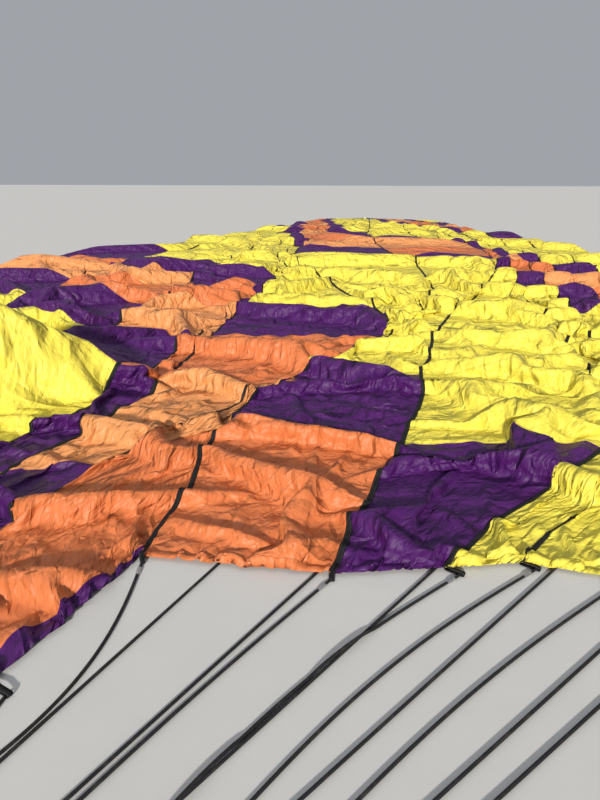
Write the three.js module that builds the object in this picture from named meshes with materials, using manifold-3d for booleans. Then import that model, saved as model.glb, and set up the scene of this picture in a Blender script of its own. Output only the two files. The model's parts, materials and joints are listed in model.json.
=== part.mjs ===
// Hot air balloon, laid out for inflation: the cloth envelope spread flat
// from its mouth to its crown, its suspension wires, the burner on its gimbal in the
// load frame, and the wicker basket lying on its side behind.
// Millimetres, +Z up, +Y from the basket to the crown. Origin: bottom centre of the whole.
import * as THREE from 'three';
import { mergeVertices } from 'three/addons/utils/BufferGeometryUtils.js';
import Module from 'manifold-3d';

const wasm = await Module();
wasm.setup();
const PI = Math.PI;

// ---------------------------------------------------------------- driving dimensions
const OX = 26, OY = -8866;        // from the middle of the mouth to the origin
const CLOTH = 10;                  // each layer of laid-out cloth, folds included
const SEAM_GAP = 4;                // half the gap between neighbouring gores
const TOP_Z = 15;                  // underside of the upper layer
const PUFF = 25;                   // how far a gore stands up between its tapes
const CROWN_Y = 22400, CROWN_X = -100;
const RING_R = 130, RING_W = 24, RING_H = 20;         // crown ring

const BASKET_W = 1200, BASKET_D = 1050, BASKET_H = 1100, WALL = 30, CORNER_R = 110;
const RIM_OUT = 19, RIM_T = 62, RIM_L = 62;
const BASE_L = 80, FLOOR_T = 25, SKID_W = 70, SKID_H = 40;
const BX = -600, BZ = BASKET_D / 2 + RIM_OUT;         // basket and burner axis
const FLOOR_Y = -4900, RIM_Y = FLOOR_Y + BASKET_H;    // underside of the floor, top of the walls

const FRAME_Y = -2950, FRAME_HALF = 450, FRAME_TUBE = 32;
const GIMBAL_R = 320, GIMBAL_T = 28, PIN_R = 8, BORE_R = 8.7;
const CAN_R = 98, CAN_L = 270, CAN_T = 5, CAN_X = 112, CAN_Y = 34;
const COIL_R = 80, COIL_T = 7, COIL_TURNS = 2.5;
const CYL_R = 138, CYL_L = 800, CYL_X = 418, CYL_Z = 340;
const POLE_R = 15;
const KARA_L = 62, KARA_W = 34, KARA_T = 5;           // karabiner: half length, half width, rod
const WIRE_R = 6, WIRE_L = 4600, WIRE_PITCH = 13.5, EYE_R = 15, EYE_T = 4;

// Seams of the upper layer, right to left: distance of the mouth end from the mouth line,
// then the place across at each of the stations along the envelope.
const STATION = [-1000, 0, 2000, 4500, 7000, 9500, 12000, 15000, 18000, 21000, 21900, CROWN_Y];
const SEAMS = [ // seam, mouth_y, x at each station
  [-4, -300, [2200, 2750, 4500, 5050, 5300, 5450, 5250, 4450, 3200, 2450, 1500, 30]],
  [-3,  100, [2300, 2530, 4000, 4450, 4550, 4550, 4400, 3700, 2700, 1950, 1250, 25]],
  [-2,  330, [2050, 2220, 3600, 3900, 3980, 3950, 3900, 3150, 2250, 1550, 1000, 15]],
  [-1,  370, [1750, 1870, 3250, 3400, 3530, 3620, 3550, 2700, 1850, 1200,  750,  5]],
  [ 0,  280, [1500, 1620, 2850, 3030, 3100, 3300, 3280, 2300, 1430,  850,  500, -15]],
  [ 1,  160, [1150, 1240, 1600, 1900, 2580, 3050, 3080, 1800, 1050,  500,  280, -40]],
  [ 2,  150, [ 400,  440,  490, 1500, 1850, 1670, 1030,  480,  350,  150,   60, -70]],
  [ 3, -600, [ 650, -200,  330, 1300,  500, -450, -820, -800, -300, -200, -150, -130]],
  [ 4, -740, [ 558, -550, -320, -350, -340, -650, -1050, -1150, -700, -520, -380, -160]],
  [ 5, -860, [ 350, -830, -620, -520, -520, -850, -1400, -1500, -1080, -850, -600, -185]],
  [ 6, -900, [   0, -1240, -1550, -1540, -1680, -1800, -1900, -2050, -1480, -1180, -850, -205]],
  [ 7, -850, [-500, -1640, -2600, -3150, -3430, -3540, -2950, -2650, -1880, -1500, -1150, -220]],
  [ 8, -500, [-600, -1900, -3600, -4700, -5450, -5400, -4080, -3280, -2300, -1850, -1400, -230]],
];
// mouth ends of the lower layer's seams 8 to 20, left to right
const LOW_MOUTH = [-500, -300, 0, 250, 400, 470, 500, 500, 500, 500, 500, 200, -300];
const GORES = 24, HALF = 12;

// ---------------------------------------------------------------- helpers
const root = new THREE.Group();
const M = (hex, roughness, metalness = 0) => new THREE.MeshStandardMaterial({ color: hex, roughness, metalness });
const cloth = [M(0xe6d71e, 0.55), M(0x3a1466, 0.5), M(0xe8692e, 0.55)];
const steel = M(0xb9bcc0, 0.3, 1), dark = M(0x2a2b2e, 0.5, 0.6), black = M(0x141414, 0.7);
const wicker = M(0xb98a4e, 0.8), hide = M(0x6b4526, 0.7), ply = M(0xc79f6b, 0.7), alu = M(0xc3c6c9, 0.35, 1);

function weld(g) {
  g = g.index ? g : mergeVertices(g);
  g.deleteAttribute('normal'); g.deleteAttribute('uv');
  return mergeVertices(g, 1e-3);
}
function solid(g) {
  g = weld(g);
  const m = new wasm.Mesh({ numProp: 3, vertProperties: new Float32Array(g.attributes.position.array), triVerts: new Uint32Array(g.index.array) });
  m.merge();
  return new wasm.Manifold(m);
}
function geom(man) {
  const m = man.getMesh(), g = new THREE.BufferGeometry();
  g.setAttribute('position', new THREE.BufferAttribute(new Float32Array(m.vertProperties), 3));
  g.setIndex(new THREE.BufferAttribute(new Uint32Array(m.triVerts), 1));
  return g;
}
const join = (...gs) => geom(gs.map(solid).reduce((a, b) => a.add(b)));
const cut = (a, ...bs) => geom(bs.map(solid).reduce((p, q) => p.subtract(q), solid(a)));
function put(name, g, mat) {
  const m = new THREE.Mesh(weld(g), mat);
  m.name = name; m.position.set(OX, OY, 0);
  root.add(m);
}
const box = (sx, sy, sz, x, y, z) => new THREE.BoxGeometry(sx, sy, sz).translate(x, y, z);
function rod(a, b, r, n = 12) {
  const d = new THREE.Vector3().subVectors(b, a), g = new THREE.CylinderGeometry(r, r, d.length(), n);
  g.applyQuaternion(new THREE.Quaternion().setFromUnitVectors(new THREE.Vector3(0, 1, 0), d.clone().normalize()));
  return g.translate((a.x + b.x) / 2, (a.y + b.y) / 2, (a.z + b.z) / 2);
}
const V = (x, y, z) => new THREE.Vector3(x, y, z);
function oval(halfW, halfL, r) {   // a closed link of round rod, long along Y
  const g = new THREE.TorusGeometry(halfW - r, r, 6, 18), p = g.attributes.position;
  for (let i = 0; i < p.count; i++) p.setY(i, p.getY(i) + (halfL - halfW) * Math.sin(Math.atan2(p.getY(i), p.getX(i))));
  return g;
}
// an outline in X and Z pushed along Y from y0 to y1; the bevel rounds its long edges
function alongY(shape, y0, y1, bevel = 0, seg = 4) {
  const g = new THREE.ExtrudeGeometry(shape, { depth: y1 - y0 - 2 * bevel, steps: 1, curveSegments: seg,
    bevelEnabled: bevel > 0, bevelThickness: bevel, bevelSize: bevel, bevelOffset: -bevel, bevelSegments: 1 });
  return g.rotateX(-PI / 2).translate(BX, y0 + bevel, BZ);
}
function roundRect(hx, hz, r, path = new THREE.Shape()) {
  path.moveTo(hx, -hz + r);
  path.lineTo(hx, hz - r); path.absarc(hx - r, hz - r, r, 0, PI / 2);
  path.lineTo(-hx + r, hz); path.absarc(-hx + r, hz - r, r, PI / 2, PI);
  path.lineTo(-hx, -hz + r); path.absarc(-hx + r, -hz + r, r, PI, 1.5 * PI);
  path.lineTo(hx - r, -hz); path.absarc(hx - r, -hz + r, r, 1.5 * PI, 2 * PI);
  return path;
}
function ringShape(hx, hz, r, t) {
  const s = roundRect(hx, hz, r);
  s.holes.push(roundRect(hx - t, hz - t, Math.max(r - t, 4), new THREE.Path()));
  return s;
}

// ---------------------------------------------------------------- envelope layout
function across(xs, y) {           // straight between stations, eased at each
  let i = 0;
  while (i < STATION.length - 2 && y > STATION[i + 1]) i++;
  const t = (y - STATION[i]) / (STATION[i + 1] - STATION[i]);
  return xs[i] + (xs[i + 1] - xs[i]) * t;
}
const ALONG = t => Math.pow(t, 1.35);
function topSeam(k, t) {
  const [, y0, xs] = SEAMS[k + 4];
  const y = y0 + (CROWN_Y - y0) * ALONG(t);
  return [across(xs, y), y];
}
function lowSeam(k, t) {           // seams 8..20, left to right under the upper layer
  const f = (k - 8) / HALF;
  const y0 = LOW_MOUTH[k - 8];
  const y = y0 + (CROWN_Y - y0) * ALONG(t);
  return [across(SEAMS[12][2], y) * (1 - f) + across(SEAMS[0][2], y) * f, y];
}
// The one high fold, at the left of the mouth: a steep front along a line, a long slope behind it, lower towards the right.
const ease = q => { const c = Math.min(1, Math.max(0, q)); return c * c * (3 - 2 * c); };
function billow(x, y) {
  const s = 0.832 * (x + 1160) + 0.555 * (y - 1550), n = -0.555 * (x + 1160) + 0.832 * (y - 1550);
  const h = 780 * ease((s + 1350) / 800) * Math.min(1, Math.max(0, 1 - (s + 100) / 1200));
  return h * ease((n + 40) / 420) * (1 - ease((n - 480) / 1700));
}

function gore(left, right, nu, nv, z0, puff) {
  const g = new THREE.BoxGeometry(1, 1, 1, nu, nv, 1), p = g.attributes.position;
  for (let i = 0; i < p.count; i++) {
    const u = p.getX(i) + 0.5, v = p.getY(i) + 0.5, w = p.getZ(i) + 0.5;
    const a = left(v), b = right(v), d = Math.hypot(b[0] - a[0], b[1] - a[1]) || 1;
    const e = SEAM_GAP / d, s = e + (1 - 2 * e) * u;
    const x = a[0] + (b[0] - a[0]) * s, y = a[1] + (b[1] - a[1]) * s;
    const fade = Math.min(1, (1 - v) * 6, d / 600);
    const z = z0 + (puff ? puff * Math.sin(PI * u) * fade + billow(x, y) : 0);
    p.setXYZ(i, x, y, z + w * CLOTH);
  }
  return g;
}
const shade = k => cloth[[1, 2, 2, 1, 0, 0, 0, 0, 0][((k % 9) + 9) % 9]];
for (let k = -4; k < 8; k++) {
  const n = String(k + 5).padStart(2, '0');
  put('top_gore_' + n, gore(t => topSeam(k + 1, t), t => topSeam(k, t), 3, 16, TOP_Z, PUFF), shade(k));
}
for (let k = 8; k < 20; k++) {
  const n = String(k - 7).padStart(2, '0');
  put('bottom_gore_' + n, gore(t => lowSeam(k, t), t => lowSeam(k + 1, t), 1, 10, 0, 0), shade(k));
}
{ // crown ring
  const pts = [[RING_R, 0], [RING_R, RING_H], [RING_R - RING_W, RING_H], [RING_R - RING_W, 0], [RING_R, 0]].map(q => new THREE.Vector2(...q));
  put('crown_ring', new THREE.LatheGeometry(pts, 28).rotateX(PI / 2).translate(CROWN_X, CROWN_Y + RING_R + 12, 0), alu);
}

// ---------------------------------------------------------------- basket
{
  const hx = BASKET_W / 2, hz = BASKET_D / 2;
  put('basket_floor', alongY(roundRect(hx - 1, hz - 1, CORNER_R), FLOOR_Y, FLOOR_Y + FLOOR_T, 0, 3), ply);
  // each wall: the straight side and half of the corner at each end
  const walls = [['right', hx, hz, 0], ['lower', hz, hx, PI / 2], ['left', hx, hz, PI], ['upper', hz, hx, 1.5 * PI]];
  for (const [name, h, side, turn] of walls) {
    const s = new THREE.Shape(), r = CORNER_R, q = 0.3 / (r - WALL);
    s.absarc(h - r, -(side - r), r, -PI / 4 + q, 0, false);
    s.absarc(h - r, side - r, r, 0, PI / 4 - q, false);
    s.absarc(h - r, side - r, r - WALL, PI / 4 - q, 0, true);
    s.absarc(h - r, -(side - r), r - WALL, 0, -PI / 4 + q, true);
    const g = new THREE.ExtrudeGeometry(s, { depth: BASKET_H - FLOOR_T - 1 - RIM_L, steps: 1, curveSegments: 3, bevelEnabled: false });
    g.rotateZ(turn).rotateX(-PI / 2).translate(BX, FLOOR_Y + FLOOR_T + 0.5, BZ);
    put('basket_wall_' + name, g, wicker);
  }
  put('basket_rim', alongY(ringShape(hx + RIM_OUT, hz + RIM_OUT, CORNER_R + RIM_OUT, RIM_T), RIM_Y - RIM_L, RIM_Y, 16, 4), hide);
  put('basket_base_band', alongY(ringShape(hx + RIM_OUT, hz + RIM_OUT, CORNER_R + RIM_OUT, RIM_OUT - 0.5), FLOOR_Y, FLOOR_Y + BASE_L, 0, 4), hide);
  for (const [name, x] of [['left', -400], ['middle', 0], ['right', 400]])
    put('basket_skid_' + name, box(SKID_W, SKID_H, BASKET_D - 160, BX + x, FLOOR_Y - SKID_H / 2 - 0.3, BZ), ply);
}

// ---------------------------------------------------------------- fuel cylinders, lying with the basket
{
  const r = CYL_R, L = CYL_L;
  const prof = [[0, 12], [r - 40, 12], [r - 22, 0], [r - 12, 0], [r - 6, 30], [r, 60], [r, L - 190], [r - 12, L - 130], [r - 45, L - 96],
    [50, L - 86], [34, L - 80], [34, L - 30], [0, L - 30]];
  for (const [name, sx, sz] of [['lower_left', -1, -1], ['lower_right', 1, -1], ['upper_left', -1, 1], ['upper_right', 1, 1]]) {
    const g = new THREE.LatheGeometry(prof.map(q => new THREE.Vector2(...q)), 12);
    put('fuel_cylinder_' + name, g.translate(BX + sx * CYL_X, FLOOR_Y + FLOOR_T + 6, BZ + sz * CYL_Z), alu);
  }
}

// ---------------------------------------------------------------- load frame, uprights, karabiners
const corners = [['upper_right', 1, 1], ['upper_left', -1, 1], ['lower_left', -1, -1], ['lower_right', 1, -1]];
const LUG_Y = FRAME_Y + 62;                                  // centre of the lug's hole
const KARA_Y = LUG_Y + KARA_L - KARA_T;                      // middle of the karabiner
const EYE_Y = KARA_Y + KARA_L - KARA_T;                      // where the wires' eye hangs in it
{
  let g = solid(alongY(ringShape(FRAME_HALF + FRAME_TUBE / 2, FRAME_HALF + FRAME_TUBE / 2, 30, FRAME_TUBE),
    FRAME_Y - FRAME_TUBE / 2, FRAME_Y + FRAME_TUBE / 2, 6, 2));
  for (const [, sx, sz] of corners) {
    const x = BX + sx * FRAME_HALF, z = BZ + sz * FRAME_HALF;
    g = g.add(solid(box(56, 56, 56, x, FRAME_Y, z)));
    g = g.add(solid(cut(box(12, 60, 44, x, LUG_Y - 12, z), rod(V(x - 10, LUG_Y, z), V(x + 10, LUG_Y, z), 12, 16))));
    g = g.add(solid(rod(V(x, FRAME_Y, z), V(x + sx * 14, FRAME_Y - 70, z + sz * 6), 22, 12)));
  }
  for (const s of [-1, 1])      // the two pins that the gimbal ring turns on
    g = g.add(solid(rod(V(BX + s * (FRAME_HALF - 8), FRAME_Y, BZ), V(BX + s * (GIMBAL_R - 16), FRAME_Y, BZ), PIN_R, 16)))
      .add(solid(rod(V(BX + s * (FRAME_HALF - 8), FRAME_Y, BZ), V(BX + s * (GIMBAL_R + 34), FRAME_Y, BZ), 14, 16)));
  put('load_frame', geom(g), steel);
}
for (const [name, sx, sz] of corners) {
  const a = V(BX + sx * (FRAME_HALF + 14.8), FRAME_Y - 71.5, BZ + sz * (FRAME_HALF + 6.3));
  const b = V(BX + sx * (BASKET_W / 2 - 14), RIM_Y + 3, BZ + sz * (BASKET_D / 2 - 40));
  put('upright_' + name, rod(a, b, POLE_R, 12), black);
  const x = BX + sx * FRAME_HALF, z = BZ + sz * FRAME_HALF;
  put('karabiner_' + name, oval(KARA_W, KARA_L, KARA_T).translate(x, KARA_Y, z), steel);
}

// ---------------------------------------------------------------- gimbal ring and burner
{
  const R = GIMBAL_R, h = GIMBAL_T / 2;
  const pts = [[R + h, -h], [R + h, h], [R - h, h], [R - h, -h], [R + h, -h]].map(q => new THREE.Vector2(...q));
  let g = solid(new THREE.LatheGeometry(pts, 32).translate(BX, FRAME_Y, BZ));
  for (const s of [-1, 1])
    g = g.add(solid(box(40, 44, 44, BX + s * R, FRAME_Y, BZ))).add(solid(box(44, 44, 40, BX, FRAME_Y, BZ + s * R)));
  for (const s of [-1, 1])
    g = g.subtract(solid(rod(V(BX + s * (R - 40), FRAME_Y, BZ), V(BX + s * (R + 40), FRAME_Y, BZ), BORE_R, 16)))
      .subtract(solid(rod(V(BX, FRAME_Y, BZ + s * (R - 40)), V(BX, FRAME_Y, BZ + s * (R + 40)), BORE_R, 16)));
  put('gimbal_ring', geom(g), steel);

  let b = solid(box(36, 30, 2 * (R - 28), BX, FRAME_Y, BZ)).add(solid(box(300, 40, 60, BX, FRAME_Y - 10, BZ)));
  b = b.add(solid(rod(V(BX, FRAME_Y, BZ - R - 16), V(BX, FRAME_Y, BZ + R + 16), PIN_R, 16)));
  for (const s of [-1, 1]) {
    b = b.add(solid(rod(V(BX + s * CAN_X, FRAME_Y - 110, BZ), V(BX + s * CAN_X, FRAME_Y + CAN_Y - 0.5, BZ), 42, 16)))
      .add(solid(box(14, 90, 20, BX + s * CAN_X, FRAME_Y - 150, BZ + 14)))
      .add(solid(box(110, 14, 20, BX + s * (CAN_X - 30), FRAME_Y - 190, BZ + 14)));
  }
  put('burner_block', geom(b), dark);
  for (const [name, s] of [['left', -1], ['right', 1]]) {
    const r = CAN_R, t = CAN_T;
    const can = [[0, 0], [r * 0.72, 0], [r, 60], [r, CAN_L], [r - t, CAN_L], [r - t, 62], [r * 0.72 - 3, t], [0, t]].map(q => new THREE.Vector2(...q));
    put('burner_can_' + name, new THREE.LatheGeometry(can, 12).translate(BX + s * CAN_X, FRAME_Y + CAN_Y, BZ), steel);
    class Coil extends THREE.Curve {
      getPoint(q, o = new THREE.Vector3()) {
        const a = 2 * PI * COIL_TURNS * q;
        return o.set(BX + s * CAN_X + COIL_R * Math.cos(a), FRAME_Y + CAN_Y + 75 + 165 * q, BZ + COIL_R * Math.sin(a));
      }
    }
    const ring = new THREE.Shape().absarc(0, 0, COIL_T, 0, 2 * PI);
    put('burner_coil_' + name, new THREE.ExtrudeGeometry(ring, { extrudePath: new Coil(), steps: 40, curveSegments: 3, bevelEnabled: false }), steel);
  }
}

// ---------------------------------------------------------------- suspension wires, six to each karabiner
// From the karabiner a wire drops, lies in two slack loops to one side,
// and runs on to its load tape at the mouth.
const WIRES = [ // karabiner, side, height, seams it carries, lie of these wires
  ['upper_right', 1, 1, [-3, -2, -1, 0, 1, 2], [46, 46, 46, 46, 46, 46]],
  ['upper_left', -1, 1, [3, 4, 5, 6, 7, 8], [20, 33, 20, 33, 20, 33]],
  ['lower_left', -1, -1, [9, 10, 11, 12, 13, 14], [7, 7, 7, 7, 7, 7]],
  ['lower_right', 1, -1, [15, 16, 17, 18, 19, 20], [7, 7, 7, 7, 7, 7]],
];
const BOW = { '3': 220, '4': 280, '5': 40, '2': 200, '1': -20, '0': -90, '-1': -90, '-2': -60 };  // sideways bow near the mouth
const LOOP_RIGHT = [-3, -2, 19, 20];   // the outer ones at the right loop to the right
const SECOND = { '3': 0.45, '4': 0.66, '6': 1.05, '7': 0.75, '8': 1.1 };   // second loop against the first, else 0.86
const WIRE_STEPS = 26;
const clamp01 = q => Math.min(1, Math.max(0, q));
class Wire extends THREE.Curve {
  constructor(E, T, bow, second, high) {
    super();
    this.d = Math.hypot(T.x - E.x, T.y - E.y);
    Object.assign(this, { E, T, bow, second, high, ux: (T.x - E.x) / this.d, uy: (T.y - E.y) / this.d, loop: 0 });
    this.drop = high ? 350 : 260;
    this.t0 = 0.8 * this.drop / this.d;
    this.t1 = Math.min(0.93, (-1000 - E.y) / (T.y - E.y));
  }
  at(t) {
    const { E, T, ux, uy, drop } = this, a = 120, x = t * this.d, q = clamp01((t - this.t0) / (this.t1 - this.t0)), g = clamp01(x / drop);
    const s = this.loop * Math.sin(2 * PI * q) ** 2 * (q < 0.5 ? 1 : this.second) - this.bow * Math.sin(PI * clamp01((t - 0.5) / 0.5));
    const hang = this.high ? (Math.cosh((drop - Math.min(x, drop)) / a) - 1) / (Math.cosh(drop / a) - 1) : 1 - g * g * (3 - 2 * g);
    return V(E.x + ux * x - uy * s, E.y + uy * x + ux * s, T.z + (E.z - T.z) * hang);
  }
  run() {
    let sum = 0, last = this.at(0);
    for (let i = 1; i <= 400; i++) { const p = this.at(i / 400); sum += p.distanceTo(last); last = p; }
    return sum;
  }
  layPoints() {                      // 3 steps down the hang, most in the loops, 5 to the mouth
    const { t0, t1 } = this, n = WIRE_STEPS - 8, ts = [0, t0 / 3, 2 * t0 / 3];
    for (let i = 0; i <= n; i++) ts.push(t0 + (t1 - t0) * i / n);
    for (let i = 1; i <= 5; i++) ts.push(t1 + (1 - t1) * i / 5);
    this.pts = ts.map(t => this.at(t));
  }
  getPoint(t, o = new THREE.Vector3()) {
    const s = clamp01(t) * WIRE_STEPS, i = Math.min(Math.floor(s), WIRE_STEPS - 1);
    return o.lerpVectors(this.pts[i], this.pts[i + 1], s - i);
  }
  getPointAt(u, o) { return this.getPoint(u, o); }
  getTangentAt(u, o = new THREE.Vector3()) {
    return o.subVectors(this.getPoint(u + 0.5 / WIRE_STEPS), this.getPoint(u - 0.5 / WIRE_STEPS)).normalize();
  }
}
for (const [name, sx, sz, seams, lies] of WIRES) {
  const x = BX + sx * FRAME_HALF, z = BZ + sz * FRAME_HALF, y = EYE_Y + EYE_R + 6;
  let g = solid(new THREE.TorusGeometry(EYE_R - EYE_T / 2, EYE_T, 8, 16).rotateY(PI / 2).translate(x, EYE_Y, z));
  g = g.add(solid(rod(V(x - 41, y, z), V(x + 41, y, z), 8, 8)));   // the bar that the six wires leave side by side
  for (const [i, k] of seams.entries()) {
    const [tx, ty] = k <= 8 ? topSeam(k, 0) : lowSeam(k, 0), side = LOOP_RIGHT.includes(k) ? -1 : 1;
    const wire = new Wire(V(x + (sz > 0 ? 1 : -1) * WIRE_PITCH * (2.5 - i), y + 3, z), V(tx + (k < 0 || k > 18 ? -18 : [2, 3, 4, 9, 10].includes(k) ? 16 : 0), ty - 25, lies[i]), BOW[k] ?? 0, SECOND[k] ?? 0.86, sz > 0);
    let lo = 0, hi = 2500;
    for (let j = 0; j < 40; j++) { const m = (lo + hi) / 2; wire.loop = side * m; if (wire.run() < WIRE_L) lo = m; else hi = m; }
    wire.layPoints();
    const ring = new THREE.Shape().absarc(0, 0, WIRE_R, 0, 2 * PI);
    g = g.add(solid(new THREE.ExtrudeGeometry(ring, { extrudePath: wire, steps: WIRE_STEPS, curveSegments: 3, bevelEnabled: false })));
  }
  put('wires_' + name, geom(g), black);
}

export default root;
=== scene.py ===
"""Hot air balloon laid out for inflation: cloth envelope, suspension wires, burner and basket."""
import bpy, bmesh, math, json, time
import numpy as np
from mathutils import Vector, Matrix

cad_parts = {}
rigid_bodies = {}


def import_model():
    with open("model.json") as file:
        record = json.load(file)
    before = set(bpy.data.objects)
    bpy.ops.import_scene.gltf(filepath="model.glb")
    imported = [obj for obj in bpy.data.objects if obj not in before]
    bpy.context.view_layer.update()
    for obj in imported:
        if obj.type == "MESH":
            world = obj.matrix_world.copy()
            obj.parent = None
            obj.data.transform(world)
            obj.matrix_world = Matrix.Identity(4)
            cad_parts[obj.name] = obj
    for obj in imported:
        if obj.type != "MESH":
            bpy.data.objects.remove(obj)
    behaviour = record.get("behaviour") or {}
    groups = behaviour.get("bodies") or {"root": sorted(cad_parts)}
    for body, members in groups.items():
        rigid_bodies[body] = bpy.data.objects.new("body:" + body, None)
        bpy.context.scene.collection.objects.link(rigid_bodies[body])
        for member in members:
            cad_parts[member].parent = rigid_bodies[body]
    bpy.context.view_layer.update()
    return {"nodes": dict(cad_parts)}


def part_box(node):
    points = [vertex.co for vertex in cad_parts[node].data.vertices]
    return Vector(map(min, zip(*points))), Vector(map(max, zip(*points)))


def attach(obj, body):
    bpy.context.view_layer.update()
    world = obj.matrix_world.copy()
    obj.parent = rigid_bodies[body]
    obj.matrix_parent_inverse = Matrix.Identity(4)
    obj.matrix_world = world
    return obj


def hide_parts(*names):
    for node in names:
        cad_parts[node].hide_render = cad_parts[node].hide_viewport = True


T0 = time.time()
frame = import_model()
OX, OY = 0.026, -8.866            # the mouth frame's origin in the object's frame
PI = math.pi


def nodes_of(prefix):
    return [n for n in frame["nodes"] if n.startswith(prefix)]


# ================================================================ camera
cam_data = bpy.data.cameras.new("camera")
cam = bpy.data.objects.new("camera", cam_data)
bpy.context.scene.collection.objects.link(cam)
cam_data.lens, cam_data.sensor_width, cam_data.sensor_fit = 27.9, 36.0, 'AUTO'
cam_data.clip_start, cam_data.clip_end = 0.05, 400
cam.location = (1.49 + OX, -1.98 + OY, 1.55)
cam.rotation_euler = (math.radians(90 - 19.95), 0, math.radians(9.46))
bpy.context.scene.camera = cam


# ================================================================ mesh helpers
def link(obj):
    bpy.context.scene.collection.objects.link(obj)
    return obj


def mesh_obj(name, verts, faces, mats=(), index=None, smooth=True, uvs=None, body="balloon"):
    """verts (n,3); faces (m,4) array, or a list of tuples; uvs {map name: (loops,2)}"""
    me = bpy.data.meshes.new(name)
    verts = np.asarray(verts, np.float32)
    if isinstance(faces, np.ndarray):
        k = faces.shape[1]
        me.vertices.add(len(verts)); me.vertices.foreach_set("co", verts.ravel())
        me.loops.add(faces.size); me.loops.foreach_set("vertex_index", faces.astype(np.int32).ravel())
        me.polygons.add(len(faces))
        me.polygons.foreach_set("loop_start", np.arange(0, faces.size, k, dtype=np.int32))
        me.update(calc_edges=True)
    else:
        me.from_pydata([tuple(map(float, v)) for v in verts], [], [tuple(map(int, f)) for f in faces])
    for m in mats:
        me.materials.append(m)
    if index is not None:
        me.polygons.foreach_set("material_index", np.asarray(index, np.int32))
    me.polygons.foreach_set("use_smooth", np.full(len(me.polygons), smooth))
    for n, uv in (uvs or {}).items():
        layer = me.uv_layers.new(name=n)
        layer.uv.foreach_set("vector", np.asarray(uv, np.float32).ravel())
    me.validate(); me.update()
    o = link(bpy.data.objects.new(name, me))
    if body:
        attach(o, body)
    return o


def grid_faces(rows, cols, wrap=False):
    """quads of a rows x cols lattice of vertices; wrap joins the last column to the first"""
    r = np.arange(rows - 1)[:, None]
    c = np.arange(cols if wrap else cols - 1)[None, :]
    d = (c + 1) % cols
    return np.stack([r * cols + c, r * cols + d, (r + 1) * cols + d, (r + 1) * cols + c], -1).reshape(-1, 4)


def frames_along(P):
    """unit tangents and two normals carried along the points"""
    P = np.asarray(P, float)
    T = np.gradient(P, axis=0)
    T /= np.linalg.norm(T, axis=1, keepdims=True) + 1e-12
    N = np.zeros_like(P)
    a = np.array([0, 0, 1.0]) if abs(T[0, 2]) < 0.9 else np.array([1.0, 0, 0])
    n = a - T[0] * a.dot(T[0]); N[0] = n / np.linalg.norm(n)
    for i in range(1, len(P)):
        n = N[i - 1] - T[i] * N[i - 1].dot(T[i])
        N[i] = n / (np.linalg.norm(n) + 1e-12)
    return T, N, np.cross(T, N)


def tube_data(P, r, sides=10, closed=False):
    """vertices, quads and metre UVs of a round tube along P; r may be one number or one a point"""
    P = np.asarray(P, float); n = len(P)
    T, N, B = frames_along(P)
    if closed:
        T = np.roll(P, -1, 0) - np.roll(P, 1, 0); T /= np.linalg.norm(T, axis=1, keepdims=True)
        up = N[0] if abs(np.dot(N[0], T[0])) < 0.9 else B[0]
        ref = np.array([0, 1.0, 0]) if np.abs(T[:, 1]).max() < 0.9 else up
        B = np.cross(T, ref); B /= np.linalg.norm(B, axis=1, keepdims=True) + 1e-12
        N = np.cross(B, T)
    r = np.broadcast_to(np.asarray(r, float), (n,))
    a = 2 * PI * np.arange(sides) / sides
    V = P[:, None] + r[:, None, None] * (np.cos(a)[None, :, None] * N[:, None] + np.sin(a)[None, :, None] * B[:, None])
    s = np.concatenate([[0], np.cumsum(np.linalg.norm(np.diff(P, axis=0), axis=1))])
    rows = n + 1 if closed else n
    idx = np.arange(n * sides).reshape(n, sides)
    if closed:
        idx = np.concatenate([idx, idx[:1]])
        s = np.append(s, s[-1] + np.linalg.norm(P[0] - P[-1]))
    f, uv = [], []
    i0 = idx[:-1]; i1 = idx[1:]
    F = np.stack([i0, np.roll(i0, -1, 1), np.roll(i1, -1, 1), i1], -1).reshape(-1, 4)
    u = np.arange(sides + 1) / sides
    U = np.stack([np.broadcast_to(u[:-1], (rows - 1, sides)), np.broadcast_to(u[1:], (rows - 1, sides)),
                  np.broadcast_to(u[1:], (rows - 1, sides)), np.broadcast_to(u[:-1], (rows - 1, sides))], -1).reshape(-1, 4)
    S = np.stack([s[:-1], s[:-1], s[1:], s[1:]], -1)[:, None].repeat(sides, 1).reshape(-1, 4)
    V = V.reshape(-1, 3)
    UV = np.stack([U, S], -1).reshape(-1, 4, 2)
    if not closed:          # a shallow cone closes each end
        c0, c1 = len(V), len(V) + 1
        V = np.concatenate([V, [P[0] - T[0] * r[0] * 0.25, P[-1] + T[-1] * r[-1] * 0.25]])
        a0 = np.stack([np.roll(idx[0], -1), idx[0], np.full(sides, c0), np.full(sides, c0)], -1)
        a1 = np.stack([idx[-1], np.roll(idx[-1], -1), np.full(sides, c1), np.full(sides, c1)], -1)
        tri = np.concatenate([a0[:, :3], a1[:, :3]])
        return V, F, UV, tri
    return V, F, UV, np.zeros((0, 3), int)


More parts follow.
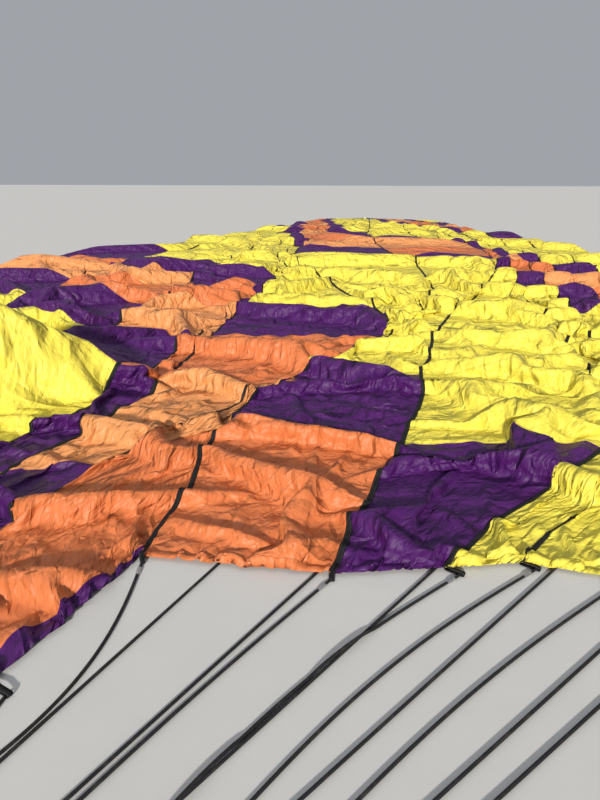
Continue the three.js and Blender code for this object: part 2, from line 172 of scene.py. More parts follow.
class Parts:
    """collects tubes, lathes, boxes and so on into one mesh"""
    def __init__(self):
        self.v, self.f, self.uv, self.m, self.n = [], [], [], [], 0

    def add(self, V, F, UV=None, mat=0):
        V = np.asarray(V, float)
        for i, f in enumerate(F):
            self.f.append(tuple(int(q) + self.n for q in f))
            self.uv.append([tuple(p) for p in UV[i]] if UV is not None and i < len(UV) else [(0.0, 0.0)] * len(f))
            self.m.append(mat)
        self.v.append(V); self.n += len(V)
        return self

    def tube(self, P, r, sides=10, closed=False, mat=0):
        V, F, UV, tri = tube_data(P, r, sides, closed)
        self.add(V, list(F) + list(tri), list(UV) + [np.zeros((3, 2))] * len(tri), mat)
        return self

    def rod(self, a, b, r, sides=16, mat=0, bevel=None):
        a, b = np.array(a, float), np.array(b, float)
        L = np.linalg.norm(b - a); bv = min(r * 0.15, L * 0.2) if bevel is None else bevel
        t = (b - a) / L
        P = np.array([a, a + t * 1e-5, a + t * bv, b - t * bv, b - t * 1e-5, b])
        R = np.array([0.001 * r, r - bv, r, r, r - bv, 0.001 * r])
        return self.tube(P, R, sides, mat=mat)

    def lathe(self, prof, origin, axis=(0, 1, 0), segs=40, mat=0, closed=False):
        """prof: (radius, height) pairs along the axis"""
        prof = np.array(prof, float); n = len(prof)
        ax = np.array(axis, float); ax /= np.linalg.norm(ax)
        e = np.array([1.0, 0, 0]) if abs(ax[0]) < 0.9 else np.array([0, 0, 1.0])
        e = e - ax * e.dot(ax); e /= np.linalg.norm(e); g = np.cross(ax, e)
        a = 2 * PI * np.arange(segs) / segs
        V = (np.array(origin, float) + prof[:, None, 1:2] * ax + prof[:, None, 0:1] *
             (np.cos(a)[None, :, None] * e + np.sin(a)[None, :, None] * g))
        F = grid_faces(n, segs, wrap=True)
        if closed:
            k = np.arange(segs); F = np.concatenate([F, np.stack([(n - 1) * segs + k, (n - 1) * segs + (k + 1) % segs, (k + 1) % segs, k], -1)])
        s = np.concatenate([[0], np.cumsum(np.hypot(*np.diff(prof, axis=0).T))])
        UV = []
        R = max(prof[:, 0].max(), 1e-3)
        for i in range(n - 1):
            for j in range(segs):
                u0, u1 = j / segs * 2 * PI * R, (j + 1) / segs * 2 * PI * R
                UV.append([(u0, s[i]), (u1, s[i]), (u1, s[i + 1]), (u0, s[i + 1])])
        if closed:
            UV += [[(0, 0)] * 4] * segs
        # outward faces whichever way the profile runs, and a cap on each small end
        loop = np.concatenate([prof, prof[:1]]) if closed else prof
        dz = np.diff(loop[:, 1]); ra, rb = loop[:-1, 0], loop[1:, 0]
        up = (dz * (ra * ra + ra * rb + rb * rb)).sum() > 0
        F, UV = list(F if up else F[:, ::-1]), list(UV if up else [q[::-1] for q in UV])
        k = np.arange(segs)
        for row, rev in ((0, up), (n - 1, not up)):
            if not closed and prof[row, 0] < 0.03:
                F.append(row * segs + (k[::-1] if rev else k)); UV.append([(0, 0)] * segs)
        self.add(V.reshape(-1, 3), F, UV, mat)
        return self

    def box(self, c, size, bevel=0.003, mat=0, rot=None):
        bm = bmesh.new(); bmesh.ops.create_cube(bm, size=1)
        bmesh.ops.scale(bm, vec=size, verts=bm.verts)
        if bevel:
            bmesh.ops.bevel(bm, geom=bm.edges[:] + bm.verts[:], offset=bevel, segments=2, profile=0.6, affect='EDGES')
        M = Matrix.Translation(c) @ (rot.to_4x4() if rot else Matrix())
        bm.verts.index_update()
        V = [M @ v.co for v in bm.verts]
        F = [[v.index for v in f.verts] for f in bm.faces]
        UV = []
        for f in bm.faces:
            n = f.normal; k = max(range(3), key=lambda q: abs(n[q]))
            UV.append([(v.co[(k + 1) % 3], v.co[(k + 2) % 3]) for v in f.verts])
        bm.free()
        self.add(V, F, UV, mat)
        return self

    def build(self, name, mats, body="balloon", smooth=True, angle=None):
        V = np.concatenate(self.v)
        me = bpy.data.meshes.new(name)
        me.from_pydata(V.tolist(), [], self.f)
        for m in mats:
            me.materials.append(m)
        me.polygons.foreach_set("material_index", np.array(self.m, np.int32))
        me.polygons.foreach_set("use_smooth", np.full(len(me.polygons), smooth))
        uv = me.uv_layers.new(name="metres")
        uv.uv.foreach_set("vector", np.array([p for f in self.uv for p in f], np.float32).ravel())
        if angle:
            me.set_sharp_from_angle(angle=math.radians(angle))
        me.validate(); me.update()
        o = link(bpy.data.objects.new(name, me))
        if body:
            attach(o, body)
        return o


# ================================================================ layout of the seams, as in the CAD
CROWN_Y = 22.4
ST = np.array([-1.0, 0, 2.0, 4.5, 7.0, 9.5, 12.0, 15.0, 18.0, 21.0, 21.9, 22.4])
SEAMS = {
    8: (-0.50, [-0.600, -1.900, -3.600, -4.700, -5.450, -5.400, -4.080, -3.280, -2.300, -1.850, -1.400, -0.230]),
    7: (-0.85, [-0.500, -1.640, -2.600, -3.150, -3.430, -3.540, -2.950, -2.650, -1.880, -1.500, -1.150, -0.220]),
    6: (-0.90, [0.000, -1.240, -1.550, -1.540, -1.680, -1.800, -1.900, -2.050, -1.480, -1.180, -0.850, -0.205]),
    5: (-0.86, [0.350, -0.830, -0.620, -0.520, -0.520, -0.850, -1.400, -1.500, -1.080, -0.850, -0.600, -0.185]),
    4: (-0.74, [0.558, -0.550, -0.320, -0.350, -0.340, -0.650, -1.050, -1.150, -0.700, -0.520, -0.380, -0.160]),
    3: (-0.60, [0.650, -0.200, 0.330, 1.300, 0.500, -0.450, -0.820, -0.800, -0.300, -0.200, -0.150, -0.130]),
    2: (0.15, [0.400, 0.440, 0.490, 1.500, 1.850, 1.670, 1.030, 0.480, 0.350, 0.150, 0.060, -0.070]),
    1: (0.16, [1.150, 1.240, 1.600, 1.900, 2.580, 3.050, 3.080, 1.800, 1.050, 0.500, 0.280, -0.040]),
    0: (0.28, [1.500, 1.620, 2.850, 3.030, 3.100, 3.300, 3.280, 2.300, 1.430, 0.850, 0.500, -0.015]),
    -1: (0.37, [1.750, 1.870, 3.250, 3.400, 3.530, 3.620, 3.550, 2.700, 1.850, 1.200, 0.750, 0.005]),
    -2: (0.33, [2.050, 2.220, 3.600, 3.900, 3.980, 3.950, 3.900, 3.150, 2.250, 1.550, 1.000, 0.015]),
    -3: (0.10, [2.300, 2.530, 4.000, 4.450, 4.550, 4.550, 4.400, 3.700, 2.700, 1.950, 1.250, 0.025]),
    -4: (-0.30, [2.200, 2.750, 4.500, 5.050, 5.300, 5.450, 5.250, 4.450, 3.200, 2.450, 1.500, 0.030]),
}
LOW_MOUTH = [-0.5, -0.3, 0, 0.25, 0.4, 0.47, 0.5, 0.5, 0.5, 0.5, 0.5, 0.2, -0.3]


def seam_corner(k):
    """where a seam's load tape ends at the mouth, in the mouth frame"""
    if k <= 8:
        y0, xs = SEAMS[k]
        return np.interp(y0, ST, xs), y0
    f = (k - 8) / 12; y0 = LOW_MOUTH[k - 8]
    return (1 - f) * np.interp(y0, ST, SEAMS[8][1]) + f * np.interp(y0, ST, SEAMS[-4][1]), y0


# ================================================================ suspension wires
BX, BZ, FRAME_Y, FRAME_HALF = -0.6, 0.544, -2.95, 0.45
KARA_L, KARA_T, EYE_R, EYE_T = 0.062, 0.005, 0.015, 0.004
LUG_Y = FRAME_Y + 0.062
KARA_Y = LUG_Y + KARA_L - KARA_T
EYE_Y = KARA_Y + KARA_L - KARA_T
WIRE_R, WIRE_L = 0.006, 4.6
FANS = [
    ('lower_left', -1, -1, [9, 10, 11, 12, 13, 14], [7] * 6),
    ('lower_right', 1, -1, [15, 16, 17, 18, 19, 20], [7] * 6),
    ('upper_left', -1, 1, [3, 4, 5, 6, 7, 8], [20, 33, 20, 33, 20, 33]),
    ('upper_right', 1, 1, [-3, -2, -1, 0, 1, 2], [46] * 6),
]
BOW = {3: .22, 4: .28, 5: .04, 2: .2, 1: -.02, 0: -.09, -1: -.09, -2: -.06}
SECOND = {3: .45, 4: .66, 6: 1.05, 7: .75, 8: 1.1}
LOOP_RIGHT = (-3, -2, 19, 20)


def wire_route(E, T, bow, second, high, side):
    """E to T, in the mouth frame: a drop, two slack loops to one side, then on to the mouth"""
    d = math.hypot(T[0] - E[0], T[1] - E[1]); ux, uy = (T[0] - E[0]) / d, (T[1] - E[1]) / d
    drop = 0.35 if high else 0.26
    t0 = 0.8 * drop / d; t1 = min(0.93, (-1.0 - E[1]) / (T[1] - E[1]))
    t = np.arange(401) / 400

    def at(loop):
        x = t * d; q = np.clip((t - t0) / (t1 - t0), 0, 1); g = np.clip(x / drop, 0, 1)
        s = loop * np.sin(2 * PI * q) ** 2 * np.where(q < 0.5, 1, second) - bow * np.sin(PI * np.clip((t - 0.5) / 0.5, 0, 1))
        if high:
            hang = (np.cosh((drop - np.minimum(x, drop)) / 0.12) - 1) / (math.cosh(drop / 0.12) - 1)
        else:
            hang = 1 - g * g * (3 - 2 * g)
        return np.stack([E[0] + ux * x - uy * s, E[1] + uy * x + ux * s, T[2] + (E[2] - T[2]) * hang], -1)
    lo, hi = 0.0, 2.5
    for _ in range(40):
        m = (lo + hi) / 2
        P = at(side * m)
        if np.linalg.norm(np.diff(P, axis=0), axis=1).sum() < WIRE_L:
            lo = m
        else:
            hi = m
    return P


def hump(z, need, s, slope):
    """lifts z to need, with long low ramps on both sides"""
    z = np.maximum(z, need)
    for i in range(1, len(z)):
        z[i] = max(z[i], z[i - 1] - slope * (s[i] - s[i - 1]))
    for i in range(len(z) - 2, -1, -1):
        z[i] = max(z[i], z[i + 1] - slope * (s[i + 1] - s[i]))
    return z


wires = {}
laid = np.zeros((0, 3))
for fan, sx, sz, seams, lies in FANS:
    x0, z0 = BX + sx * FRAME_HALF, BZ + sz * FRAME_HALF
    ybar = EYE_Y + EYE_R + 0.006
    for i, k in enumerate(seams):
        tx, ty = seam_corner(k)
        nudge = -0.018 if k < 0 or k > 18 else 0.016 if k in (2, 3, 4, 9, 10) else 0
        E = (x0 + (1 if sz > 0 else -1) * 0.0135 * (2.5 - i), ybar + 0.003, z0)
        T = (tx + nudge, ty - 0.025, lies[i] / 1000)
        P = wire_route(E, T, BOW.get(k, 0), SECOND.get(k, .86), sz > 0, -1 if k in LOOP_RIGHT else 1)
        # the wire lies on the floor or on the wires below it
        base = WIRE_R + 0.0008
        z = P[:, 2]
        z = base + (z - T[2]) * (E[2] - base) / (E[2] - T[2])
        s = np.concatenate([[0], np.cumsum(np.hypot(*np.diff(P[:, :2], axis=0).T))])
        need = np.full(len(z), base)
        if len(laid):
            dx = P[:, None, 0] - laid[None, :, 0]; dy = P[:, None, 1] - laid[None, :, 1]
            h2 = dx * dx + dy * dy
            dd = (2 * WIRE_R + 0.001) ** 2
            near = h2 < dd
            top = np.where(near & (laid[None, :, 2] < 0.12), laid[None, :, 2] + np.sqrt(np.maximum(dd - h2, 0)), 0)
            need = np.maximum(need, np.where(z < 0.16, top.max(1), 0))
        z = np.maximum(z, hump(need, need, s, 0.16))
        P = np.stack([P[:, 0], P[:, 1], z], -1)
        wires[k] = (fan, P)
        # dense copy for the wires that follow
        u = np.linspace(0, s[-1], 1100)
        laid = np.concatenate([laid, np.stack([np.interp(u, s, P[:, j]) for j in range(3)], -1)])
OFF = np.array([OX, OY, 0])


# ================================================================ node helper
class Mat:
    def __init__(self, name):
        self.m = bpy.data.materials.new(name); self.m.use_nodes = True
        self.t = self.m.node_tree; self.n = self.t.nodes; self.l = self.t.links
        self.b = self.n["Principled BSDF"]

    def node(self, kind, **kw):
        n = self.n.new("ShaderNode" + kind)
        for k, v in kw.items():
            if k in n.bl_rna.properties:
                setattr(n, k, v)
            else:
                n.inputs[k.replace('_', ' ')].default_value = v
        return n

    def link(self, a, b):
        self.l.new(a, b)

    def put(self, **kw):
        for k, v in kw.items():
            self.b.inputs[k.replace('_', ' ')].default_value = v

    def uv(self, name):
        return self.node("UVMap", uv_map=name).outputs[0]

    def obj(self):
        return self.node("TexCoord").outputs["Object"]

    def scale(self, vec, s):
        n = self.node("Mapping"); n.inputs["Scale"].default_value = s
        self.link(vec, n.inputs["Vector"]); return n.outputs[0]

    def noise(self, vec, scale, detail=3, rough=0.5, dist=0.0, kind='FBM'):
        n = self.node("TexNoise", noise_type=kind); n.inputs["Scale"].default_value = scale
        n.inputs["Detail"].default_value = detail; n.inputs["Roughness"].default_value = rough
        n.inputs["Distortion"].default_value = dist
        self.link(vec, n.inputs["Vector"]); return n

    def voronoi(self, vec, scale, feature='F1', rand=1.0):
        n = self.node("TexVoronoi", feature=feature); n.inputs["Scale"].default_value = scale
        n.inputs["Randomness"].default_value = rand
        self.link(vec, n.inputs["Vector"]); return n

    def facets(self, vec, scale, tilt, soft=4.2):
        """flat tilted cells that meet along straight creases: the height of each cell's own plane, nothing at its edge"""
        v = self.voronoi(vec, scale); e = self.voronoi(vec, scale, 'DISTANCE_TO_EDGE')
        d = self.node("VectorMath", operation='SUBTRACT'); self.link(vec, d.inputs[0]); self.link(v.outputs["Position"], d.inputs[1])
        c = self.node("VectorMath", operation='SUBTRACT'); self.link(v.outputs["Color"], c.inputs[0]); c.inputs[1].default_value = (0.5, 0.5, 0.5)
        q = self.node("VectorMath", operation='DOT_PRODUCT'); self.link(d.outputs[0], q.inputs[0]); self.link(c.outputs[0], q.inputs[1])
        fall = self.math('MULTIPLY', e.outputs["Distance"], soft, clamp=True)
        return self.math('MULTIPLY', self.math('MULTIPLY', q.outputs["Value"], 2.0 * tilt), fall)

    def math(self, op, a, b=None, c=None, clamp=False):
        n = self.node("Math", operation=op, use_clamp=clamp)
        for i, q in enumerate((a, b, c)):
            if q is None:
                continue
            if isinstance(q, (int, float)):
                n.inputs[i].default_value = q
            else:
                self.link(q, n.inputs[i])
        return n.outputs[0]

    def ramp(self, fac, stops, interp='LINEAR'):
        n = self.node("ValToRGB"); n.color_ramp.interpolation = interp
        e = n.color_ramp.elements
        while len(e) < len(stops):
            e.new(0.5)
        for q, (p, c) in zip(e, stops):
            q.position = p; q.color = (*c, 1) if len(c) == 3 else c
        self.link(fac, n.inputs[0]); return n.outputs[0]

    def mix(self, fac, a, b, mode='MIX'):
        n = self.node("Mix", data_type='RGBA', blend_type=mode)
        for s, q in ((n.inputs[0], fac), (n.inputs[6], a), (n.inputs[7], b)):
            if isinstance(q, (int, float)):
                s.default_value = q
            elif isinstance(q, tuple):
                s.default_value = (*q, 1) if len(q) == 3 else q
            else:
                self.link(q, s)
        return n.outputs[2]

    def sep(self, vec):
        n = self.node("SeparateXYZ"); self.link(vec, n.inputs[0]); return n.outputs

    def bump(self, height, distance, strength=1.0, after=None):
        n = self.node("Bump"); n.inputs["Distance"].default_value = distance
        n.inputs["Strength"].default_value = strength
        self.link(height, n.inputs["Height"])
        if after is not None:
            self.link(after, n.inputs["Normal"])
        return n.outputs[0]

    def color(self, out):
        self.link(out, self.b.inputs["Base Color"])

    def rough(self, out):
        self.link(out, self.b.inputs["Roughness"])

    def normal(self, out):
        self.link(out, self.b.inputs["Normal"])


def shade(c, k):
    return tuple(min(1.0, q * k) for q in c)


def cloth_mat(name, col, deep, rough=0.42, crisp=1.0):
    """coated ripstop nylon: fine creases, ripstop squares, felled seam at each panel row"""
    m = Mat(name)
    uv = m.uv("cloth")
    u, v = m.sep(uv)[:2]
    big = m.noise(uv, 1.1, 3, 0.6).outputs[0]
    fade = m.noise(m.scale(uv, (1, 0.35, 1)), 4.0, 4, 0.6).outputs[0]
    c = m.mix(m.math('MULTIPLY', big, 0.55), col, deep)
    c = m.mix(m.math('MULTIPLY', m.math('SUBTRACT', fade, 0.45, clamp=True), 0.9), c, shade(col, 1.12))
    # creases: straight-edged facets at three sizes, and long fine pleats along and across the gore
    warp = m.noise(uv, 2.4, 2, 0.5)
    wv = m.node("VectorMath", operation='MULTIPLY_ADD')
    m.link(warp.outputs["Color"], wv.inputs[0]); wv.inputs[1].default_value = (0.10, 0.10, 0.0); m.link(uv, wv.inputs[2])
    w0 = wv.outputs[0]
    h = m.facets(m.scale(w0, (0.70, 1.30, 1.0)), 4.4, 0.33 * crisp)
    h = m.math('ADD', h, m.facets(m.scale(w0, (1.25, 0.75, 1.0)), 9.5, 0.36 * crisp))
    h = m.math('ADD', h, m.facets(w0, 25.0, 0.26 * crisp))
    pl = m.noise(m.scale(w0, (1.0, 0.12, 1.0)), 10.0, 2, 0.5).outputs[0]
    pa = m.noise(m.scale(w0, (0.16, 1.0, 1.0)), 8.0, 2, 0.5).outputs[0]
    for q, k in ((pl, 0.006), (pa, 0.009)):
        h = m.math('SUBTRACT', h, m.math('MULTIPLY', m.math('ABSOLUTE', m.math('SUBTRACT', q, 0.5)), 2 * k))
    n1 = m.bump(h, 1.0, 1.0)
    # ripstop squares, 5 mm, and the plain weave between them
    gu = m.math('PINGPONG', u, 0.0025); gv = m.math('PINGPONG', v, 0.0025)
    grid = m.math('LESS_THAN', m.math('MINIMUM', gu, gv), 0.0003)
    n2 = m.bump(grid, 0.00012, 0.5, n1)
    c = m.mix(m.math('MULTIPLY', grid, 0.16), c, shade(deep, 0.75))
    # felled seam between panels: 12 mm band with two stitch lines
    sv = m.math('PINGPONG', v, 0.725); band = m.math('LESS_THAN', sv, 0.006)
    dash = m.math('LESS_THAN', m.math('FRACT', m.math('MULTIPLY', u, 260.0)), 0.62)
    line = m.math('LESS_THAN', m.math('ABSOLUTE', m.math('SUBTRACT', sv, 0.0042)), 0.0006)
    sti = m.math('MULTIPLY', line, dash)
    c = m.mix(m.math('MULTIPLY', band, 0.35), c, shade(deep, 0.6))
    c = m.mix(m.math('MULTIPLY', sti, 0.7), c, shade(col, 0.35))
    n3 = m.bump(band, 0.0012, 0.8, n2)
    m.color(c)
    m.rough(m.math('ADD', m.math('MULTIPLY', fade, 0.16), rough - 0.08))
    m.normal(n3)
    m.put(Specular_IOR_Level=0.34)
    return m.m


YELLOW = cloth_mat("nylon_yellow", (0.80, 0.69, 0.085), (0.72, 0.59, 0.055), 0.52)
ORANGE = cloth_mat("nylon_orange", (0.68, 0.195, 0.065), (0.58, 0.140, 0.042), 0.47)
PEACH = cloth_mat("nylon_light_orange", (0.75, 0.310, 0.110), (0.66, 0.235, 0.072), 0.47)
PURPLE = cloth_mat("nylon_purple", (0.070, 0.007, 0.118), (0.040, 0.0035, 0.074), 0.55, 1.1)


def tape_mat():
    """black woven polyester tape, with a lighter fleck in the herringbone"""
    m = Mat("tape_black")
    uv = m.uv("cloth"); u, v = m.sep(uv)[:2]
    z = m.math('PINGPONG', u, 0.0075)
    ph = m.math('FRACT', m.math('MULTIPLY', m.math('ADD', v, m.math('MULTIPLY', z, 1.2)), 330.0))
    tw = m.math('PINGPONG', ph, 0.5)
    edge = m.math('GREATER_THAN', m.math('ABSOLUTE', u), 0.0125)
    dash = m.math('LESS_THAN', m.math('FRACT', m.math('MULTIPLY', v, 220.0)), 0.6)
    row = m.math('LESS_THAN', m.math('ABSOLUTE', m.math('SUBTRACT', m.math('ABSOLUTE', u), 0.0095)), 0.0007)
    wear = m.noise(uv, 30, 4, 0.6).outputs[0]
    c = m.mix(m.math('MULTIPLY', tw, 0.9), (0.006, 0.006, 0.007), (0.026, 0.025, 0.027))
    c = m.mix(m.math('MULTIPLY', m.math('SUBTRACT', wear, 0.5, clamp=True), 0.9), c, (0.07, 0.067, 0.063))
    c = m.mix(m.math('MULTIPLY', m.math('MULTIPLY', row, dash), 0.8), c, (0.10, 0.098, 0.095))
    m.color(c); m.put(Roughness=0.75, Specular_IOR_Level=0.2)
    n = m.bump(tw, 0.0006, 0.7); n = m.bump(m.math('MULTIPLY', row, dash), 0.0006, 0.8, n)
    m.normal(n)
    return m.m


TAPE = tape_mat()


def cord_mat():
    m = Mat("cord_sheath")
    uv = m.uv("metres"); u, v = m.sep(uv)[:2]
    a = m.math('FRACT', m.math('ADD', m.math('MULTIPLY', u, 8.0), m.math('MULTIPLY', v, 160.0)))
    b = m.math('FRACT', m.math('SUBTRACT', m.math('MULTIPLY', u, 8.0), m.math('MULTIPLY', v, 160.0)))
    h = m.math('MAXIMUM', m.math('PINGPONG', a, 0.5), m.math('PINGPONG', b, 0.5))
    dust = m.noise(m.obj(), 24, 4, 0.65).outputs[0]
    c = m.mix(m.math('MULTIPLY', h, 1.2), (0.008, 0.008, 0.009), (0.034, 0.033, 0.035))
    c = m.mix(m.math('MULTIPLY', m.math('SUBTRACT', dust, 0.52, clamp=True), 1.4), c, (0.11, 0.10, 0.085))
    m.color(c); m.put(Roughness=0.7, Specular_IOR_Level=0.2); m.normal(m.bump(h, 0.0008, 0.8))
    return m.m


CORD = cord_mat()


def metal_mat(name, col, rough, brush=(1, 1, 40), scale=30.0, tint=None, dirt=0.4, metallic=1.0):
    m = Mat(name)
    p = m.obj()
    br = m.noise(m.scale(p, brush), scale, 4, 0.65).outputs[0]
    spot = m.noise(p, 9.0, 5, 0.6).outputs[0]
    c = m.mix(m.math('MULTIPLY', br, 0.35), col, shade(col, 0.78))
    if tint:
        band = m.noise(m.scale(p, (3, 9, 3)), 2.2, 3, 0.5).outputs[0]
        c = m.mix(m.math('MULTIPLY', m.math('SUBTRACT', band, 0.38, clamp=True), 2.2), c, tint[0])
        c = m.mix(m.math('MULTIPLY', m.math('SUBTRACT', band, 0.55, clamp=True), 3.0), c, tint[1])
    c = m.mix(m.math('MULTIPLY', m.math('SUBTRACT', spot, 0.5, clamp=True), dirt), c, (0.08, 0.07, 0.06))
    m.color(c); m.put(Metallic=metallic)
    m.rough(m.math('ADD', m.math('MULTIPLY', br, 0.18), rough))
    m.normal(m.bump(br, 0.0004, 0.35))
    return m.m


STEEL = metal_mat("steel_brushed", (0.60, 0.60, 0.61), 0.24)
ALU = metal_mat("aluminium_satin", (0.68, 0.69, 0.70), 0.30, (40, 1, 40), 12)
HEAT = metal_mat("steel_heat_tinted", (0.58, 0.57, 0.56), 0.22, (2, 40, 2), 16, ((0.55, 0.36, 0.16), (0.22, 0.18, 0.34)))
BRASS = metal_mat("brass", (0.72, 0.50, 0.20), 0.25)
DARK = metal_mat("burner_black", (0.025, 0.025, 0.028), 0.38, (8, 8, 8), 40, None, 0.25, 0.3)


def sleeve_mat(name="hide_black", col=(0.020, 0.020, 0.022), hi=(0.05, 0.048, 0.046)):
    m = Mat(name); p = m.obj()
    g = m.voronoi(p, 420, 'F1').outputs["Distance"]
    w = m.noise(p, 16, 5, 0.6).outputs[0]
    c = m.mix(m.math('MULTIPLY', w, 0.8), col, hi)
    m.color(c); m.rough(m.math('ADD', m.math('MULTIPLY', w, 0.25), 0.42))
    n = m.bump(g, 0.0012, 0.5); m.normal(m.bump(w, 0.004, 0.4, n))
    return m.m


BLACK_HIDE = sleeve_mat()
HIDE = sleeve_mat("hide_brown", (0.15, 0.066, 0.028), (0.25, 0.125, 0.06))


def wicker_mat():
    m = Mat("cane"); uv = m.uv("metres"); p = m.obj()
    fib = m.noise(m.scale(uv, (26, 3, 1)), 3.0, 4, 0.6).outputs[0]
    tone = m.noise(m.scale(p, (1, 7, 1)), 9.0, 3, 0.6).outputs[0]
    knot = m.noise(p, 30, 3, 0.5).outputs[0]
    c = m.mix(tone, (0.33, 0.165, 0.055), (0.56, 0.34, 0.14))
    c = m.mix(m.math('MULTIPLY', fib, 0.45), c, (0.62, 0.42, 0.21))
    c = m.mix(m.math('MULTIPLY', m.math('SUBTRACT', knot, 0.56, clamp=True), 2.0), c, (0.13, 0.06, 0.02))
    m.color(c); m.rough(m.math('ADD', m.math('MULTIPLY', fib, 0.25), 0.40))
    m.normal(m.bump(fib, 0.0012, 0.6)); m.put(Coat_Weight=0.12, Coat_Roughness=0.4)
    return m.m


WICKER = wicker_mat()


def wood_mat(name, a, b, stretch):
    m = Mat(name); p = m.obj()
    w = m.noise(m.scale(p, stretch), 3.0, 4, 0.6, 1.2).outputs[0]
    g = m.math('PINGPONG', m.math('MULTIPLY', w, 9.0), 0.5)
    f = m.noise(m.scale(p, tuple(q * 9 for q in stretch)), 8.0, 3, 0.6).outputs[0]
    c = m.mix(m.math('MULTIPLY', g, 1.6), a, b)
    c = m.mix(m.math('MULTIPLY', f, 0.4), c, shade(b, 0.7))
    m.color(c); m.rough(m.math('ADD', m.math('MULTIPLY', f, 0.2), 0.40)); m.normal(m.bump(f, 0.0008, 0.5))
    m.put(Coat_Weight=0.2, Coat_Roughness=0.3)
    return m.m


PLY = wood_mat("plywood", (0.52, 0.34, 0.17), (0.40, 0.24, 0.11), (1.2, 8, 9))
ASH = wood_mat("runner_wood", (0.44, 0.27, 0.13), (0.30, 0.17, 0.08), (9, 9, 1.2))


def rubber_mat(name, col, rough=0.5):
    m = Mat(name); p = m.obj()
    w = m.noise(p, 60, 4, 0.6).outputs[0]
    m.color(m.mix(w, shade(col, 0.8), shade(col, 1.2))); m.rough(m.math('ADD', m.math('MULTIPLY', w, 0.2), rough - 0.1))
    m.normal(m.bump(w, 0.0006, 0.4))
    return m.m


RED = rubber_mat("grip_red", (0.50, 0.02, 0.015)); BLUE = rubber_mat("grip_blue", (0.02, 0.06, 0.32))
WHITE = rubber_mat("dial_white", (0.78, 0.78, 0.75), 0.35)
# black finish for dials, caps and needles, also used as painted shade on the faces of the burner cans' air holes
BLACK_FINISH_AND_HOLE_SHADE = rubber_mat("black_finish_and_hole_shade", (0.02, 0.02, 0.02), 0.3)


# ================================================================ the wires as cords
for k, (fan, P) in sorted(wires.items()):
    Q = P + OFF
    s = np.concatenate([[0], np.cumsum(np.linalg.norm(np.diff(Q, axis=0), axis=1))])
    n = 180
    u = np.linspace(0, s[-1], n)
    Q = np.stack([np.interp(u, s, Q[:, j]) for j in range(3)], -1)
    V, F, UV, tri = tube_data(Q, WIRE_R, 8)
    o = Parts().add(V, list(F) + list(tri), list(UV) + [np.zeros((3, 2))] * len(tri)).build("wire_%02d" % (k + 4), [CORD])
    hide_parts("wires_" + fan)
print("wires %.1f s" % (time.time() - T0))

# ================================================================ the upper layer of cloth, laid by simulation
DY = {2: -0.05, 3: -0.20, 4: -0.38, 5: -0.50, 6: -0.40, 7: -0.20, 8: -0.10}
PITCH, PANEL, ROWS, N = 1.35, 1.45, 16.5, 40
ORDER = list(range(8, -5, -1))
PANEL_ROWS = [72, 68, 56, 48, 40, 32, 28, 24, 20, 20, 16, 16, 16, 16, 16, 16]
V_ = [0.0]
for r, n in enumerate(PANEL_ROWS):
    V_ += [PANEL * (r + (i + 1) / n) for i in range(n)]
V_ += [PANEL * (16 + 0.5 * (i + 1) / 8) for i in range(8)]
V_ = np.array(V_)
VMAX = PANEL * ROWS
PANEL_OF = np.concatenate([np.full(n, r) for r, n in enumerate(PANEL_ROWS)] + [np.full(8, 16)])


def smooth_interp(x, xs, ys):
    xs = np.asarray(xs, float); ys = np.asarray(ys, float)
    h = np.diff(xs); d = np.diff(ys) / h
    m = np.zeros_like(ys)
    m[1:-1] = 0.6 * np.where(d[:-1] * d[1:] > 0, 2 * d[:-1] * d[1:] / (d[:-1] + d[1:] + 1e-12), 0) + 0.4 * (d[:-1] * h[1:] + d[1:] * h[:-1]) / (h[:-1] + h[1:])
    m[0] = d[0]; m[-1] = d[-1]
    i = np.clip(np.searchsorted(xs, x) - 1, 0, len(xs) - 2)
    t = (x - xs[i]) / h[i]
    t2, t3 = t * t, t * t * t
    return (2 * t3 - 3 * t2 + 1) * ys[i] + (t3 - 2 * t2 + t) * h[i] * m[i] + (-2 * t3 + 3 * t2) * ys[i + 1] + (t3 - t2) * h[i] * m[i + 1]


def y_of_v(v, y0, dy):
    b = 0.2
    cv = np.array([0, 1.5, 3, 7, 10, ROWS]) * PANEL
    cy = np.array([y0, 0.55 * (y0 + 1.5 * PITCH) + 0.45 * (b + 1.5 * PITCH + dy), b + 3 * PITCH + dy, b + 7 * PITCH + dy, b + 10 * PITCH + dy * 0.5, CROWN_Y])
    return smooth_interp(v, cv, cy)


def seam_line(s):
    y = y_of_v(V_, SEAMS[s][0], DY.get(s, 0.0))
    return smooth_interp(y, ST, SEAMS[s][1]), y


def vnoise(x, y, seed):
    t = np.random.default_rng(seed).uniform(-1, 1, (64, 64))
    xi = np.floor(x).astype(int); yi = np.floor(y).astype(int)
    fx = x - xi; fy = y - yi
    fx = fx * fx * fx * (fx * (fx * 6 - 15) + 10); fy = fy * fy * fy * (fy * (fy * 6 - 15) + 10)
    a = t[yi % 64, xi % 64]; b = t[yi % 64, (xi + 1) % 64]; c = t[(yi + 1) % 64, xi % 64]; d = t[(yi + 1) % 64, (xi + 1) % 64]
    return (a * (1 - fx) + b * fx) * (1 - fy) + (c * (1 - fx) + d * fx) * fy


def fbm(x, y, seed, octaves=3):
    s, a, n = 0, 1.0, 0
    for o in range(octaves):
        s = s + a * vnoise(x * 2 ** o + 7.3 * o, y * 2 ** o + 3.1 * o, seed + o); n += a; a *= 0.5
    return s / n


def ease(q):
    c = np.clip(q, 0, 1)
    return c * c * (3 - 2 * c)


